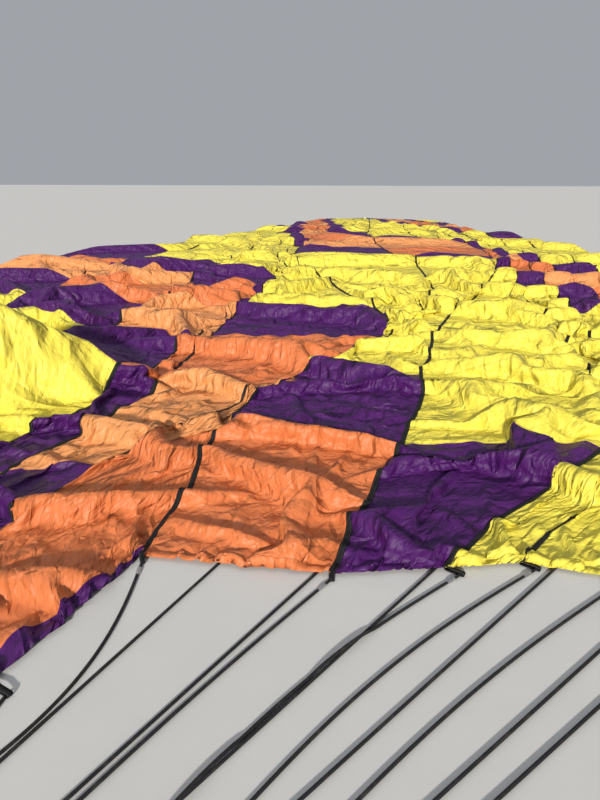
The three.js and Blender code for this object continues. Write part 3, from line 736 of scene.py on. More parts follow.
def billow(x, y):
    """the one high fold: a steep front along a line, a long slope behind it, lower towards the right"""
    s = 0.832 * (x + 1.16) + 0.555 * (y - 1.55); n = -0.555 * (x + 1.16) + 0.832 * (y - 1.55)
    h = 0.78 * ease((s + 1.35) / 0.8) * np.clip(1 - (s + 0.1) / 1.2, 0, 1)
    return h * ease((n + 0.04) / 0.42) * (1 - ease((n - 0.48) / 1.7))


def dist_pass(X, axis, rest, stiff):
    for o in (0, 1):
        if axis == 1:
            P = X[:, :, o:-1:2]; Q = X[:, :, o + 1::2]; r = rest[:, o::2]
            n = min(P.shape[2], Q.shape[2]); P = P[:, :, :n]; Q = Q[:, :, :n]; r = r[:, :n]
        else:
            P = X[:, o:-1:2, :]; Q = X[:, o + 1::2, :]; r = rest[o::2, :]
            n = min(P.shape[1], Q.shape[1]); P = P[:, :n]; Q = Q[:, :n]; r = r[:n]
        d = Q - P
        L = np.sqrt(d[0] * d[0] + d[1] * d[1] + d[2] * d[2]) + 1e-9
        d *= (0.5 * stiff) * (L - r) / L
        P += d; Q -= d


def diag_pass(X, rest1, rest2, stiff):
    for o in (0, 1):
        for ra, rest in ((0, rest1), (1, rest2)):
            if ra == 0:
                P = X[:, o:-1:2, :-1]; Q = X[:, o + 1::2, 1:]
            else:
                P = X[:, o:-1:2, 1:]; Q = X[:, o + 1::2, :-1]
            n = min(P.shape[1], Q.shape[1]); P = P[:, :n]; Q = Q[:, :n]; r = rest[o::2][:n]
            d = Q - P
            L = np.sqrt(d[0] * d[0] + d[1] * d[1] + d[2] * d[2]) + 1e-9
            d *= (0.5 * stiff) * (L - r) / L
            P += d; Q -= d


def bend_pass(X, k):
    c = X[:, :, 1:-1] - 0.5 * (X[:, :, :-2] + X[:, :, 2:])
    X[:, :, 1:-1] -= 0.5 * k * c; X[:, :, :-2] += 0.25 * k * c; X[:, :, 2:] += 0.25 * k * c
    c = X[:, 1:-1] - 0.5 * (X[:, :-2] + X[:, 2:])
    X[:, 1:-1] -= 0.5 * k * c; X[:, :-2] += 0.25 * k * c; X[:, 2:] += 0.25 * k * c


def lens(X):
    return (np.sqrt(((X[:, :, 1:] - X[:, :, :-1]) ** 2).sum(0)), np.sqrt(((X[:, 1:] - X[:, :-1]) ** 2).sum(0)),
            np.sqrt(((X[:, 1:, 1:] - X[:, :-1, :-1]) ** 2).sum(0)), np.sqrt(((X[:, 1:, :-1] - X[:, :-1, 1:]) ** 2).sum(0)))


def up2(A):
    k, R, C = A.shape
    B = np.zeros((k, 2 * R - 1, C), A.dtype)
    B[:, ::2] = A
    B[:, 1::2] = 0.5 * (A[:, 1:] + A[:, :-1])
    B[:, 3:-3:2] = (9 * (A[:, 1:-2] + A[:, 2:-1]) - (A[:, :-3] + A[:, 3:])) / 16
    D = np.zeros((k, 2 * R - 1, 2 * C - 1), A.dtype)
    D[:, :, ::2] = B
    D[:, :, 1::2] = 0.5 * (B[:, :, 1:] + B[:, :, :-1])
    D[:, :, 3:-3:2] = (9 * (B[:, :, 1:-2] + B[:, :, 2:-1]) - (B[:, :, :-3] + B[:, :, 3:])) / 16
    return D


# the laid sheet before it is crumpled: rows across, columns along the gores from the left seam to the right
lines = [seam_line(s) for s in ORDER]
R_, C_ = len(V_), 12 * N + 1
LX = np.zeros((R_, C_)); LY = np.zeros((R_, C_))
for m in range(12):
    f = np.arange(N + (m == 11)) / N
    for A, q in ((LX, 0), (LY, 1)):
        A[:, m * N:m * N + len(f)] = lines[m][q][:, None] * (1 - f) + lines[m + 1][q][:, None] * f
UU = (np.arange(C_) / N)[None, :] + 0 * LX
VV = V_[:, None] + 0 * LX
wid = np.abs(np.diff(LX[:, ::N], axis=1))
wid_c = np.repeat(wid, N, axis=1); wid_c = np.concatenate([wid_c, wid_c[:, -1:]], 1)
flat_w = np.clip(0.50 + 0.19 * VV, 0, 2.2) * np.clip((VMAX - VV) / 6.0, 0.05, 1)
tight = np.clip((np.clip(flat_w / np.maximum(wid_c, 0.05), 1, 3) - 1) / 1.2, 0, 1)
inseam = np.abs(np.sin(PI * UU))
blw = np.clip(billow(LX, LY) / 0.30, 0, 1)
near = np.clip((7.5 - VV) / 6.0, 0, 1)
GX = 0.080 + 0.12 * tight * inseam ** 0.5 + 0.04 * fbm(UU * 1.1, VV * 0.5, 11) + 0.05 * near
GY = 0.045 + 0.10 * inseam ** 0.7 * (0.75 + 0.5 * fbm(UU * 0.8, VV * 0.35, 23)) + 0.08 * near
far = ease((VV - 6) / 7)
GX = np.clip(GX * (1 - 0.62 * far) * (1 - 0.92 * blw), 0.005, 0.4)
GY = np.clip(GY * (1 - 0.66 * far) * (1 - 0.92 * blw), 0.004, 0.3)
# what it lies on: the lower layer with folds of its own
edge = np.clip(np.minimum(UU, 12 - UU) / 0.5, 0, 1) * np.clip(VV / 0.5, 0, 1) * np.clip((VMAX - VV) / 1.5, 0, 1)
under = 0.5 + 0.5 * fbm(LX * 0.95 + 2, LY * 0.75, 71, 3)
lump = np.clip(1 - 3.2 * np.abs(fbm(LX * 0.55 + 9, LY * 0.8 + 4, 77, 3)), 0, 1) ** 1.5
# beside a seam the slack rolls up into a low fold, which partly covers the tape
roll = np.zeros_like(LX)
for j in range(1, 12):
    k = 8 - j
    side = -1 if k <= 1 else 1
    since = 0.45 if k <= 0 else (6.5 if k == 1 else 4.5)
    dxs = (LX - LX[:, j * N][:, None]) * side
    roll = np.maximum(roll, np.exp(-((dxs - 0.085) / 0.050) ** 2) * ease((VV - since) / 0.9) * (0.75 + 0.5 * fbm(LX * 1.3, LY * 1.3, 121)))
FLOOR = 0.013 + billow(LX, LY) + (0.024 * under + 0.030 * lump * (0.6 + 0.4 * near) + 0.042 * roll) * edge * (1 - blw) * (1 - 0.6 * far)


def lay_cloth(levels=(4, 2, 1), iters=(400, 340, 260)):
    f32 = np.float32
    X = None
    for li, st in enumerate(levels):
        xs, ys = LX[::st, ::st], LY[::st, ::st]
        fl = FLOOR[::st, ::st].astype(f32)
        U, W = UU[::st, ::st], VV[::st, ::st]
        flat = np.stack([xs, ys, fl]).astype(f32)
        a, b, d1, d2 = lens(flat)
        share = (0.42, 0.70, 1.0)[li]
        gx, gy = GX[::st, ::st] * share, GY[::st, ::st] * share
        ra = (a * (1 + 0.5 * (gx[:, 1:] + gx[:, :-1]))).astype(f32)
        rb = (b * (1 + 0.5 * (gy[1:] + gy[:-1]))).astype(f32)
        gd = 0.5 * (gx[1:, 1:] + gy[1:, 1:])
        r1 = (d1 * (1 + gd)).astype(f32); r2 = (d2 * (1 + gd)).astype(f32)
        seam = np.zeros(xs.shape[1], bool); seam[::N // st] = True
        hold = np.where(seam, 0.02, 0.0008)[None, :] * np.ones_like(fl)
        hold = hold * (1.0, 0.3, 0.1)[li]
        hold[0] = np.where(seam, 0.6, 0.03)
        hold = hold.astype(f32)
        if li == 0:
            X = flat.copy()
            right = 1 / (1 + np.exp(-(U - 6.8) * 1.6))
            U2 = U + 0.55 * fbm(xs * 0.55 + 3, ys * 0.55, 132, 2); W2 = W + 0.75 * fbm(xs * 0.6, ys * 0.5 + 4, 131, 2)
            along = fbm(U2 * 3.0, W2 * 0.42 + 5, 31)
            across = fbm(U2 * 0.75 + 3, W2 * 1.75, 41)
            diag = fbm(U2 * 1.6 + W2 * 1.0, W2 * 1.0 - U2 * 0.7, 51)
            n = 0.46 * (along * right + across * (1 - right)) + 0.72 * diag
            X[2] += (0.16 * (1 - 0.5 * far[::st, ::st]) * (1 - 0.9 * blw[::st, ::st]) * np.clip(n + 0.25, 0, 2) * (0.25 + 0.75 * np.abs(np.sin(PI * U)) ** 0.5)).astype(f32)
        else:
            X = up2(X).astype(f32)
            w1 = 0.15 if li == 1 else 0.075
            ax_ = 1 / (1 + np.exp(-(U - 7.6) * 2.0))          # folds lie across the gores at the left, along them at the right
            wx = xs + 0.30 * fbm(xs * 0.8, ys * 0.8, 101, 2); wy = ys + 0.30 * fbm(xs * 0.8 + 5, ys * 0.8, 102, 2)
            n = (1 - ax_) * fbm(wx / (4.0 * w1), wy / w1, 61 + li, 2) + ax_ * fbm(wx / w1, wy / (3.2 * w1), 66 + li, 2) + 0.4 * fbm(wx / w1, wy / w1, 86 + li, 2)
            X[2] += ((0.034 if li == 1 else 0.017) * (1 - 0.7 * blw[::st, ::st]) * (0.4 + np.abs(np.sin(PI * U))) * n).astype(f32)
            X[2] = np.maximum(X[2], fl)
        lay = flat[:2]
        prev = X.copy()
        for it in range(iters[li]):
            vel = (X - prev) * f32(0.86)
            prev = X.copy()
            X += vel
            X[2] -= f32(0.00012 * (0.0 if (li == 0 and it < 0.5 * iters[0]) else (1.0, 0.25, 0.08)[li]))
            k = min(1.0, (it + 1) / (0.45 * iters[li])) if li == 0 else 1.0
            if k < 1:
                A, B, D1, D2 = (p + (q - p) * f32(k) for p, q in ((a, ra), (b, rb), (d1, r1), (d2, r2)))
            else:
                A, B, D1, D2 = ra, rb, r1, r2
            dist_pass(X, 1, A, 0.9)
            dist_pass(X, 0, B, 0.9)
            diag_pass(X, D1, D2, 0.25)
            bend_pass(X, (0.03, 0.02, 0.012)[li])
            X[:2] += hold * (lay - X[:2])
            X[2, :, seam] -= (X[2, :, seam] - fl[:, seam].T) * f32((0.01, 0.003, 0.001)[li])
            X[2, 0] -= (X[2, 0] - fl[0]) * f32(0.05)
            np.maximum(X[2], fl, out=X[2])
        print("cloth level", li, X.shape, "%.1f s" % (time.time() - T0), "z p95 %.3f" % float(np.percentile(X[2] - fl, 95)))
    return X


X_ = lay_cloth()


def blur(Z, times):
    for _ in range(times):
        Z = np.concatenate([Z[:1], 0.25 * Z[:-2] + 0.5 * Z[1:-1] + 0.25 * Z[2:], Z[-1:]])
        Z = np.concatenate([Z[:, :1], 0.25 * Z[:, :-2] + 0.5 * Z[:, 1:-1] + 0.25 * Z[:, 2:], Z[:, -1:]], 1)
    return Z


# crests drawn sharper and hollows deeper, most near the mouth
crest = X_[2] - blur(X_[2], 10)
X_[2] = np.maximum(X_[2] + 0.30 * crest * (1 - 0.8 * far) * (1 - 0.7 * blw), FLOOR * 0.35 + 0.65 * np.minimum(FLOOR, X_[2]))
X_ = X_ + np.array([OX, OY, 0], np.float32)[:, None, None]
G_ = X_.transpose(1, 2, 0).astype(float)          # rows, columns, xyz in the object's frame

# flat width of each gore at each row, for the cut size and the cloth's own coordinates
flat_a = np.linalg.norm(np.diff(np.stack([LX, LY], -1), axis=1), axis=2) * (1 + 0.5 * (GX[:, 1:] + GX[:, :-1]))
CLOTHS = [PURPLE, YELLOW, ORANGE, PEACH]


def panel_colour(p, row):
    q = (row - p) % 9
    return np.where((q == 0) | (q == 6), 0, np.where(q < 6, 1, np.where(row % 2 == 0, 2, 3)))


def uv_loops(U, V, F):
    return np.stack([U.ravel()[F], V.ravel()[F]], -1).reshape(-1, 2)


def offset_rows(G, c, dists):
    """points on the cloth's rows at these distances from column c, negative to the left: rows x dists x 3"""
    Rr = G.shape[0]; out = np.zeros((Rr, len(dists), 3))
    for side in (-1, 1):
        cols = [c + side * j for j in range(0, 9) if 0 <= c + side * j < G.shape[1]]
        if len(cols) < 2:
            o = 2 * G[:, c] - G[:, c - side]; P = np.stack([G[:, c], o], 1)
        else:
            P = G[:, cols]
        L = np.concatenate([np.zeros((Rr, 1)), np.cumsum(np.linalg.norm(np.diff(P, axis=1), axis=2), axis=1)], 1)
        for i, d in enumerate(dists):
            if d * side < 0 or (d == 0 and side == 1):
                continue
            for r in range(Rr):
                out[r, i] = [np.interp(abs(d), L[r], P[r, :, j]) for j in range(3)]
    return out


def strip(name, centre, normal, widths, vcoord, mats, thick=0.0013, lift=0.0022):
    """a flat tape: centre rows x k x 3 across it, raised over the cloth, with its own thickness"""
    Rr, k = centre.shape[:2]
    up = centre + normal * (lift + thick)
    dn = centre + normal * (lift * 0.2)
    ring = np.concatenate([up, dn[:, ::-1]], 1)
    F = grid_faces(Rr, 2 * k, wrap=True)
    Uc = np.concatenate([widths, widths[::-1]])[None, :] + np.zeros((Rr, 1))
    Vc = vcoord[:, None] + np.zeros((1, 2 * k))
    a = np.arange(k)
    return ring.reshape(-1, 3), F, Uc, Vc


TAPE_HALF = 0.016
for m in range(12):
    k = 7 - m
    sl = slice(m * N, (m + 1) * N + 1)
    P = G_[:, sl]
    F = grid_faces(R_, N + 1)
    w = flat_a[:, m * N:(m + 1) * N].sum(1)
    U = np.concatenate([np.zeros((R_, 1)), np.cumsum(flat_a[:, m * N:(m + 1) * N], 1)], 1) - w[:, None] / 2
    Vg = V_[:, None] + np.zeros((1, N + 1))
    hue = panel_colour(k, PANEL_OF)
    if k in (2, 3, 4):
        hue[:3] = 0                            # the dark band along the hem
    idx = hue[:, None].repeat(N, 1).ravel()
    bake_u = (np.arange(N + 1) / N)[None, :] + 0 * Vg
    o = mesh_obj("gore_top_%02d" % (k + 5), P.reshape(-1, 3), F, CLOTHS, idx, True,
                 {"cloth": uv_loops(U, Vg, F), "OFBake": uv_loops(bake_u * 0.98 + 0.01, Vg / VMAX * 0.98 + 0.01, F)})
    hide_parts("top_gore_%02d" % (k + 5))

# tapes along the seams
normals = np.zeros_like(G_)
du = np.gradient(G_, axis=1); dv = np.gradient(G_, axis=0)
normals = np.cross(du, dv); normals /= np.linalg.norm(normals, axis=2, keepdims=True) + 1e-12
DIST = np.array([-TAPE_HALF, -0.006, 0.006, TAPE_HALF])
for j in range(13):
    c = min(j * N, C_ - 1)
    rows = np.unique(np.concatenate([np.arange(0, 200), np.arange(200, R_, 2), [R_ - 1]]))
    rows = rows[rows < R_]
    cen = offset_rows(G_[rows], c, DIST)
    nn = normals[rows][:, c][:, None].repeat(len(DIST), 1)
    V, F, Uc, Vc = strip("t", cen, nn, DIST, V_[rows], [TAPE])
    o = mesh_obj("load_tape_%02d" % (j + 1), V, F, [TAPE], None, True, {"cloth": uv_loops(Uc, Vc, F)})
print("cloth %.1f s" % (time.time() - T0))

# ================================================================ the lower layer
LSTEP = 6
lrows = np.unique(np.concatenate([np.arange(0, R_, LSTEP), [R_ - 1]]))
NL = 6
vl = V_[lrows]
for m in range(12):
    k = 8 + m                                   # seam k on its left, k+1 on its right
    f = (m + np.arange(NL + 1) / NL) / 12
    y0 = np.interp(f * 12, np.arange(13), LOW_MOUTH)
    L8, R4 = G_[lrows, 0] - OFF, G_[lrows, -1] - OFF
    Y = np.stack([y_of_v(vl, y, -0.1 * (1 - q)) for y, q in zip(y0, f)], 1)
    X8 = smooth_interp(Y, ST, SEAMS[8][1]); X4 = smooth_interp(Y, ST, SEAMS[-4][1])
    Xl = (1 - f)[None] * X8 + f[None] * X4
    Z = 0.0045 + 0.0030 * (0.5 + 0.5 * fbm(Xl * 1.3, Y * 1.3, 91)) * np.ones_like(Xl)
    Pl = np.stack([Xl, Y, Z], -1)
    # its outer edges are sewn to the upper layer's
    for e, src in ((0, L8), (1, R4)):
        wgt = np.clip(1 - np.abs(f - e) * 12 / 0.5, 0, 1)[None, :, None]
        ref = Pl[:, :1] if (e == 0 and m == 0) else Pl[:, -1:]
        if (e == 0 and m == 0) or (e == 1 and m == 11):
            Pl = Pl + wgt * (src[:, None] - ref)
    Pl[..., 2] = np.maximum(Pl[..., 2], 0.003)
    Pl = Pl + OFF
    F = grid_faces(len(lrows), NL + 1)[:, ::-1]
    p = 15 - k
    idx = panel_colour(p, PANEL_OF[np.minimum(lrows[:-1], R_ - 2)])[:, None].repeat(NL, 1).ravel()
    w = np.linalg.norm(np.diff(Pl, axis=1), axis=2).sum(1)
    U = (np.arange(NL + 1) / NL - 0.5)[None, :] * w[:, None]; Vg = vl[:, None] + 0 * U
    o = mesh_obj("gore_bottom_%02d" % (k - 7), Pl.reshape(-1, 3), F, CLOTHS, idx, True,
                 {"cloth": uv_loops(U, Vg, F), "OFBake": uv_loops((U / w[:, None] + 0.5) * 0.98 + 0.01, Vg / VMAX * 0.98 + 0.01, F)})
    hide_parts("bottom_gore_%02d" % (k - 7))
print("lower layer %.1f s" % (time.time() - T0))

# ================================================================ hem, tape loops at the mouth
def at(x, y, z):
    return np.array([x + OX, y + OY, z])


for m in range(12):
    sl = slice(m * N, (m + 1) * N + 1)
    P = G_[:3, sl]
    C = P.transpose(1, 0, 2); nn = normals[:3, sl].transpose(1, 0, 2)
    tgt = V_[:3]
    s = np.concatenate([[0], np.cumsum(np.linalg.norm(np.diff(P[0], axis=0), axis=1))])
    V, F, Uc, Vc = strip("h", C, nn, tgt, s, None, 0.0012, 0.0014)
    k = 7 - m
    mat_i = int(panel_colour(k, np.array([0]))[0])
    o = mesh_obj("hem_%02d" % (k + 5), V, F[:, ::-1], [PURPLE if k in (2, 3, 4) else CLOTHS[mat_i]], None, True, {"cloth": uv_loops(Vc, Uc + 0.02, F[:, ::-1])})


def ribbon(path, half, thick=0.0012, mat=TAPE, name="loop", side=None):
    """a flat band along a path, its width along the level direction across it"""
    P = np.asarray(path, float)
    T = np.gradient(P, axis=0); T /= np.linalg.norm(T, axis=1, keepdims=True)
    S = np.tile(np.asarray(side, float), (len(P), 1)); S -= T * (S * T).sum(1, keepdims=True)
    S /= np.linalg.norm(S, axis=1, keepdims=True)
    U = np.cross(S, T)
    s = np.concatenate([[0], np.cumsum(np.linalg.norm(np.diff(P, axis=0), axis=1))])
    ring = np.stack([P - S * half + U * thick, P + S * half + U * thick, P + S * half - U * thick, P - S * half - U * thick], 1)
    F = grid_faces(len(P), 4, wrap=True)
    e = 4 * len(P)
    F = np.concatenate([F, [[3, 2, 1, 0], [e - 4, e - 3, e - 2, e - 1]]])
    R, c = ring.reshape(-1, 3), P.mean(0)
    if np.einsum('ij,ij->', R[F[:, 0]] - c, np.cross(R[F[:, 1]] - c, R[F[:, 2]] - c) + np.cross(R[F[:, 2]] - c, R[F[:, 3]] - c)) < 0:
        F = F[:, ::-1]
    Uc = np.tile([-half, half, half, -half], (len(P), 1)); Vc = s[:, None] + np.zeros((1, 4))
    return ring.reshape(-1, 3), F, Uc, Vc


LV, LF, LU, LW, n0 = [], [], [], [], 0
ends = Parts()
for k, (fan, P) in sorted(wires.items()):
    E = P[-1] + OFF
    tx, ty = seam_corner(k)
    if k <= 8:
        c = min((8 - k) * N, C_ - 1); H = G_[0, c]; inner = G_[3, c]
    else:
        H = np.array([tx + OX, ty + OY, 0.007]); inner = H + np.array([0, 0.06, 0.0])
    d = E - H; d[2] = 0; dist = np.linalg.norm(d) + 1e-9; d /= dist
    side = np.array([-d[1], d[0], 0])
    wdir = P[-1] - P[-6]; wdir[2] = 0; wdir /= np.linalg.norm(wdir)
    tip = E + d * 0.012
    zt = E[2]
    top = [inner + [0, 0, 0.004], H + [0, 0, 0.004], H * 0.5 + tip * 0.5 + [0, 0, 0.004], tip - d * 0.012 + [0, 0, 0.0095]]
    top[2][2] = max(H[2], zt) + 0.006; top[3][2] = zt + 0.0085
    loop = [E + d * (0.004 + 0.0095 * math.cos(a)) + np.array([0, 0, 0.0088 * math.sin(a)]) for a in np.linspace(PI / 2, -PI / 2, 7)]
    low = [E - d * 0.008 + [0, 0, -0.0055 if zt > 0.008 else -0.0052], H * 0.6 + E * 0.4, H + [0, 0, 0.0]]
    low[0][2] = max(0.0016, low[0][2]); low[1][2] = max(0.0018, min(H[2], zt) - 0.004); low[2][2] = max(0.0022, H[2] - 0.006)
    path = np.array(top + loop + low)
    V, F, Uc, Vc = ribbon(path, 0.0100, 0.0008, side=side)
    LV.append(V); LF.append(F + n0); LU.append(Uc.ravel()[F]); LW.append(Vc.ravel()[F]); n0 += len(V)
    # swaged sleeve near each end of the wire
    W = P + OFF
    sl_ = np.concatenate([[0], np.cumsum(np.linalg.norm(np.diff(W, axis=0), axis=1))])
    for s0, s1 in ((0.030, 0.072), (sl_[-1] - 0.095, sl_[-1] - 0.050)):
        ends.tube([[np.interp(q, sl_, W[:, j]) for j in range(3)] for q in np.linspace(s0, s1, 5)], [0.0076, 0.0088, 0.0090, 0.0088, 0.0076], 14)
o = mesh_obj("wire_loops", np.concatenate(LV), np.concatenate(LF), [TAPE], None, True,
             {"cloth": np.stack([np.concatenate(LU), np.concatenate(LW)], -1).reshape(-1, 2)})
ends.build("wire_sleeves", [STEEL], angle=40)

# ================================================================ wire eyes and bars, karabiner gates
for fan, sx, sz, seams, lies in FANS:
    x0, z0 = BX + sx * FRAME_HALF, BZ + sz * FRAME_HALF
    ybar = EYE_Y + EYE_R + 0.006
    p = Parts()
    a = 2 * PI * np.arange(28) / 28
    ring = [at(x0, EYE_Y + 0.013 * math.cos(q), z0 + 0.013 * math.sin(q)) for q in a]
    p.tube(ring, 0.0042, 12, closed=True)
    p.rod(at(x0 - 0.042, ybar, z0), at(x0 + 0.042, ybar, z0), 0.0078, 20)
    for s in (-1, 1):
        p.lathe([(0.001, -0.004), (0.010, -0.004), (0.0115, 0), (0.010, 0.004), (0.001, 0.004)], at(x0 + s * 0.0405, ybar, z0), (1, 0, 0), 20)
    for i in range(6):       # thimbles that the wires turn round
        xx = x0 + 0.0135 * (2.5 - i)
        rr = [at(xx, ybar + 0.0105 * math.cos(q), z0 + 0.0105 * math.sin(q)) for q in a]
        p.tube(rr, 0.0036, 8, closed=True)
    o = p.build("wire_bar_" + fan, [STEEL], angle=40)
    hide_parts("wires_" + fan)
    g = Parts()             # the karabiner's screw sleeve and gate hinge
    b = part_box("karabiner_" + fan)
    cx, cz = (b[0][0] + b[1][0]) / 2, (b[0][2] + b[1][2]) / 2
    wx, wz = b[1][0] - b[0][0], b[1][2] - b[0][2]
    yy = KARA_Y + OY
    if wx > wz:
        gx, gz = b[0][0] + 0.005, cz
    else:
        gx, gz = cx, b[0][2] + 0.005
    g.rod((gx, yy - 0.020, gz), (gx, yy + 0.016, gz), 0.0082, 18)
    for q in range(14):
        aa = 2 * PI * q / 14
        g.rod((gx + 0.0082 * math.cos(aa), yy - 0.017, gz + 0.0082 * math.sin(aa)), (gx + 0.0082 * math.cos(aa), yy + 0.013, gz + 0.0082 * math.sin(aa)), 0.0009, 6)
    g.rod((gx - 0.0075, yy - 0.030, gz), (gx + 0.0075, yy - 0.030, gz), 0.0022, 10)
    g.build("karabiner_sleeve_" + fan, [ALU], angle=40)

# ================================================================ crown: tape ends round the ring
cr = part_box("crown_ring"); rc = (np.array(cr[0]) + np.array(cr[1])) / 2
RV, RF, RU, RW, n0 = [], [], [], [], 0
for j in range(13):
    c = min(j * N, C_ - 1); e = G_[-1, c]; q = G_[-4, c]
    ang = PI * 1.5 + (j - 6) * 0.19
    rim = rc + np.array([0.130 * math.cos(ang + 0), 0.130 * math.sin(ang), 0]); inn = rc + np.array([0.106 * math.cos(ang), 0.106 * math.sin(ang), 0])
    zt = cr[1][2] + 0.0018
    path = [q + [0, 0, 0.003], e + [0, 0, 0.004], np.array([*(e * 0.5 + rim * 0.5)[:2], (e[2] + zt) / 2 + 0.004]), np.array([*rim[:2], zt]), np.array([*inn[:2], zt]),
            np.array([*(inn - (rim - inn) * 0.06)[:2], 0.012]), np.array([*inn[:2], 0.0012])]
    dd = (rim - inn); side = np.array([-dd[1], dd[0], 0])
    V, F, Uc, Vc = ribbon(np.array(path), 0.011, 0.0008, side=side)
    RV.append(V); RF.append(F + n0); RU.append(Uc.ravel()[F]); RW.append(Vc.ravel()[F]); n0 += len(V)
mesh_obj("crown_tapes", np.concatenate(RV), np.concatenate(RF), [TAPE], None, True, {"cloth": np.stack([np.concatenate(RU), np.concatenate(RW)], -1).reshape(-1, 2)})

# ================================================================ basket
BW, BD, CR = 0.6, 0.525, 0.11
FY, RY = -4.9, -3.8


def rounded(hx, hz, r, step):
    """points round a rounded rectangle in X and Z from the middle of +X, with outward normals"""
    pts = []
    for (cx, cz, a0) in ((hx - r, hz - r, 0), (-hx + r, hz - r, PI / 2), (-hx + r, -hz + r, PI), (hx - r, -hz + r, 1.5 * PI)):
        n = max(6, int(round(r * PI / 2 / step)))
        for i in range(n + 1):
            a = a0 + PI / 2 * i / n
            pts.append((cx + r * math.cos(a), cz + r * math.sin(a), math.cos(a), math.sin(a)))
    pts = np.array(pts)
    out = []
    for i in range(len(pts)):
        p, q = pts[i], pts[(i + 1) % len(pts)]
        L = math.hypot(q[0] - p[0], q[1] - p[1]); n = max(1, int(round(L / step)))
        for j in range(n):
            out.append(p + (q - p) * j / n)
    out = np.array(out); out[:, 2:] /= np.linalg.norm(out[:, 2:], axis=1, keepdims=True)
    return out


def resample(ring, n):
    P = np.concatenate([ring, ring[:1]])
    s = np.concatenate([[0], np.cumsum(np.hypot(np.diff(P[:, 0]), np.diff(P[:, 1])))])
    u = np.arange(n) * s[-1] / n
    return np.stack([np.interp(u, s, P[:, j]) for j in range(4)], -1), s[-1]


mid = rounded(BW - 0.015, BD - 0.015, CR - 0.015, 0.01)
NS = 70                                     # stakes round the basket
per = 3                                     # points of a weaver between stakes
ring, girth = resample(mid, NS * per)
ring[:, 2:] /= np.linalg.norm(ring[:, 2:], axis=1, keepdims=True)
ang = np.arctan2(ring[:, 1] / BD, ring[:, 0] / BW)
which = {"right": [], "upper": [], "left": [], "lower": []}
for i in range(len(ring)):
    x, z = ring[i, :2]
    cxz = (abs(x) - (BW - CR)) - (abs(z) - (BD - CR))
    which[("right" if x > 0 else "left") if cxz > 0 else ("upper" if z > 0 else "lower")].append(i)
Y0, Y1 = FY + 0.026, RY - 0.060
NR = int((Y1 - Y0) / 0.0135)
for name, ids in which.items():
    ids = np.array(ids)
    br = np.where(np.diff(ids) > 1)[0]
    if len(br):
        ids = np.concatenate([ids[br[0] + 1:], ids[:br[0] + 1]])
    p = Parts()
    for st in range(0, len(ids)):
        if ids[st] % per == 0:
            q = ring[ids[st]]
            wob = 0.002 * math.sin(ids[st] * 1.7)
            p.tube([at(BX + q[0] + wob, Y0, BZ + q[1]), at(BX + q[0], (Y0 + Y1) / 2, BZ + q[1] + wob), at(BX + q[0] - wob, Y1, BZ + q[1])], 0.0062, 6)
    ext = np.concatenate([ids, [(ids[-1] + 1) % len(ring)]])
    rng = np.random.default_rng(len(name))
    Q = ring[ext]; ph = PI * ext / per
    VV_, FF_, UU_ = [], [], []
    for r in range(NR):
        y = Y0 + 0.008 + (Y1 - Y0 - 0.016) * r / (NR - 1)
        off = 0.0072 * np.cos(ph + PI * r)
        yy = y + 0.0012 * np.sin(np.arange(len(ext)) * 0.35 + r * 2.1) + 0.0006 * rng.standard_normal(len(ext))
        off = off * (1 + 0.10 * rng.standard_normal())
        W = np.stack([BX + Q[:, 0] + Q[:, 2] * off + OX, yy + OY, BZ + Q[:, 1] + Q[:, 3] * off], -1)
        V, F, UV, tri = tube_data(W, 0.0059 + 0.0006 * rng.random(), 4)
        p.add(V, list(F) + list(tri), list(UV + rng.random() * 3) + [np.zeros((3, 2))] * len(tri))
    # the plaited core that the outer strands cover
    core_i = np.concatenate([ids[::3], [ext[-1]]]); Qc = ring[core_i]
    VC, FC, UC = [], [], []
    L = np.concatenate([[0], np.cumsum(np.hypot(np.diff(Qc[:, 0]), np.diff(Qc[:, 1])))])
    for i, q in enumerate(Qc):
        for (dr, yy) in ((-0.0022, Y0 - 0.004), (0.0022, Y0 - 0.004), (0.0022, Y1 + 0.004), (-0.0022, Y1 + 0.004)):
            VC.append(at(BX + q[0] + q[2] * dr, yy, BZ + q[1] + q[3] * dr))
            UC.append((L[i], yy))
    nc = len(Qc)
    for i in range(nc - 1):
        for j in range(4):
            FC.append((i * 4 + j, i * 4 + (j + 1) % 4, (i + 1) * 4 + (j + 1) % 4, (i + 1) * 4 + j))
    FC.append((0, 3, 2, 1)); FC.append((nc * 4 - 4, nc * 4 - 3, nc * 4 - 2, nc * 4 - 1))
    p.add(VC, FC, [[UC[v] for v in f] for f in FC])
    o = p.build("wicker_wall_" + name, [WICKER])
    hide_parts("basket_wall_" + name)
print("wicker %.1f s" % (time.time() - T0))

# padded rim: a stuffed hide tube with lacing
rimc, _ = resample(rounded(BW + 0.019 - 0.031, BD + 0.019 - 0.031, CR + 0.019 - 0.031, 0.01), 240)
p = Parts()
Rr = 0.0305 + 0.0010 * np.sin(np.arange(240) * 2 * PI / 8) ** 2
C = np.stack([BX + rimc[:, 0] + OX, np.full(240, RY - 0.031 + OY), BZ + rimc[:, 1]], -1)
p.tube(C, Rr, 18, closed=True)
for i in range(0, 240, 6):                   # lacing
    c = C[i]; nx, nz = rimc[i, 2], rimc[i, 3]
    t = np.array([-nz, 0, nx])
    loop = []
    for q in np.linspace(-0.5 * PI - 0.5, 1.5 * PI - 1.6, 14):
        loop.append(c + np.array([nx, 0, nz]) * 0.0322 * math.cos(q) + np.array([0, 1, 0]) * 0.0322 * math.sin(q) + t * 0.008 * (q / PI))
    p.tube(loop, 0.0021, 6, mat=1)
o = p.build("rim_padded", [HIDE, BLACK_HIDE]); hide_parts("basket_rim")

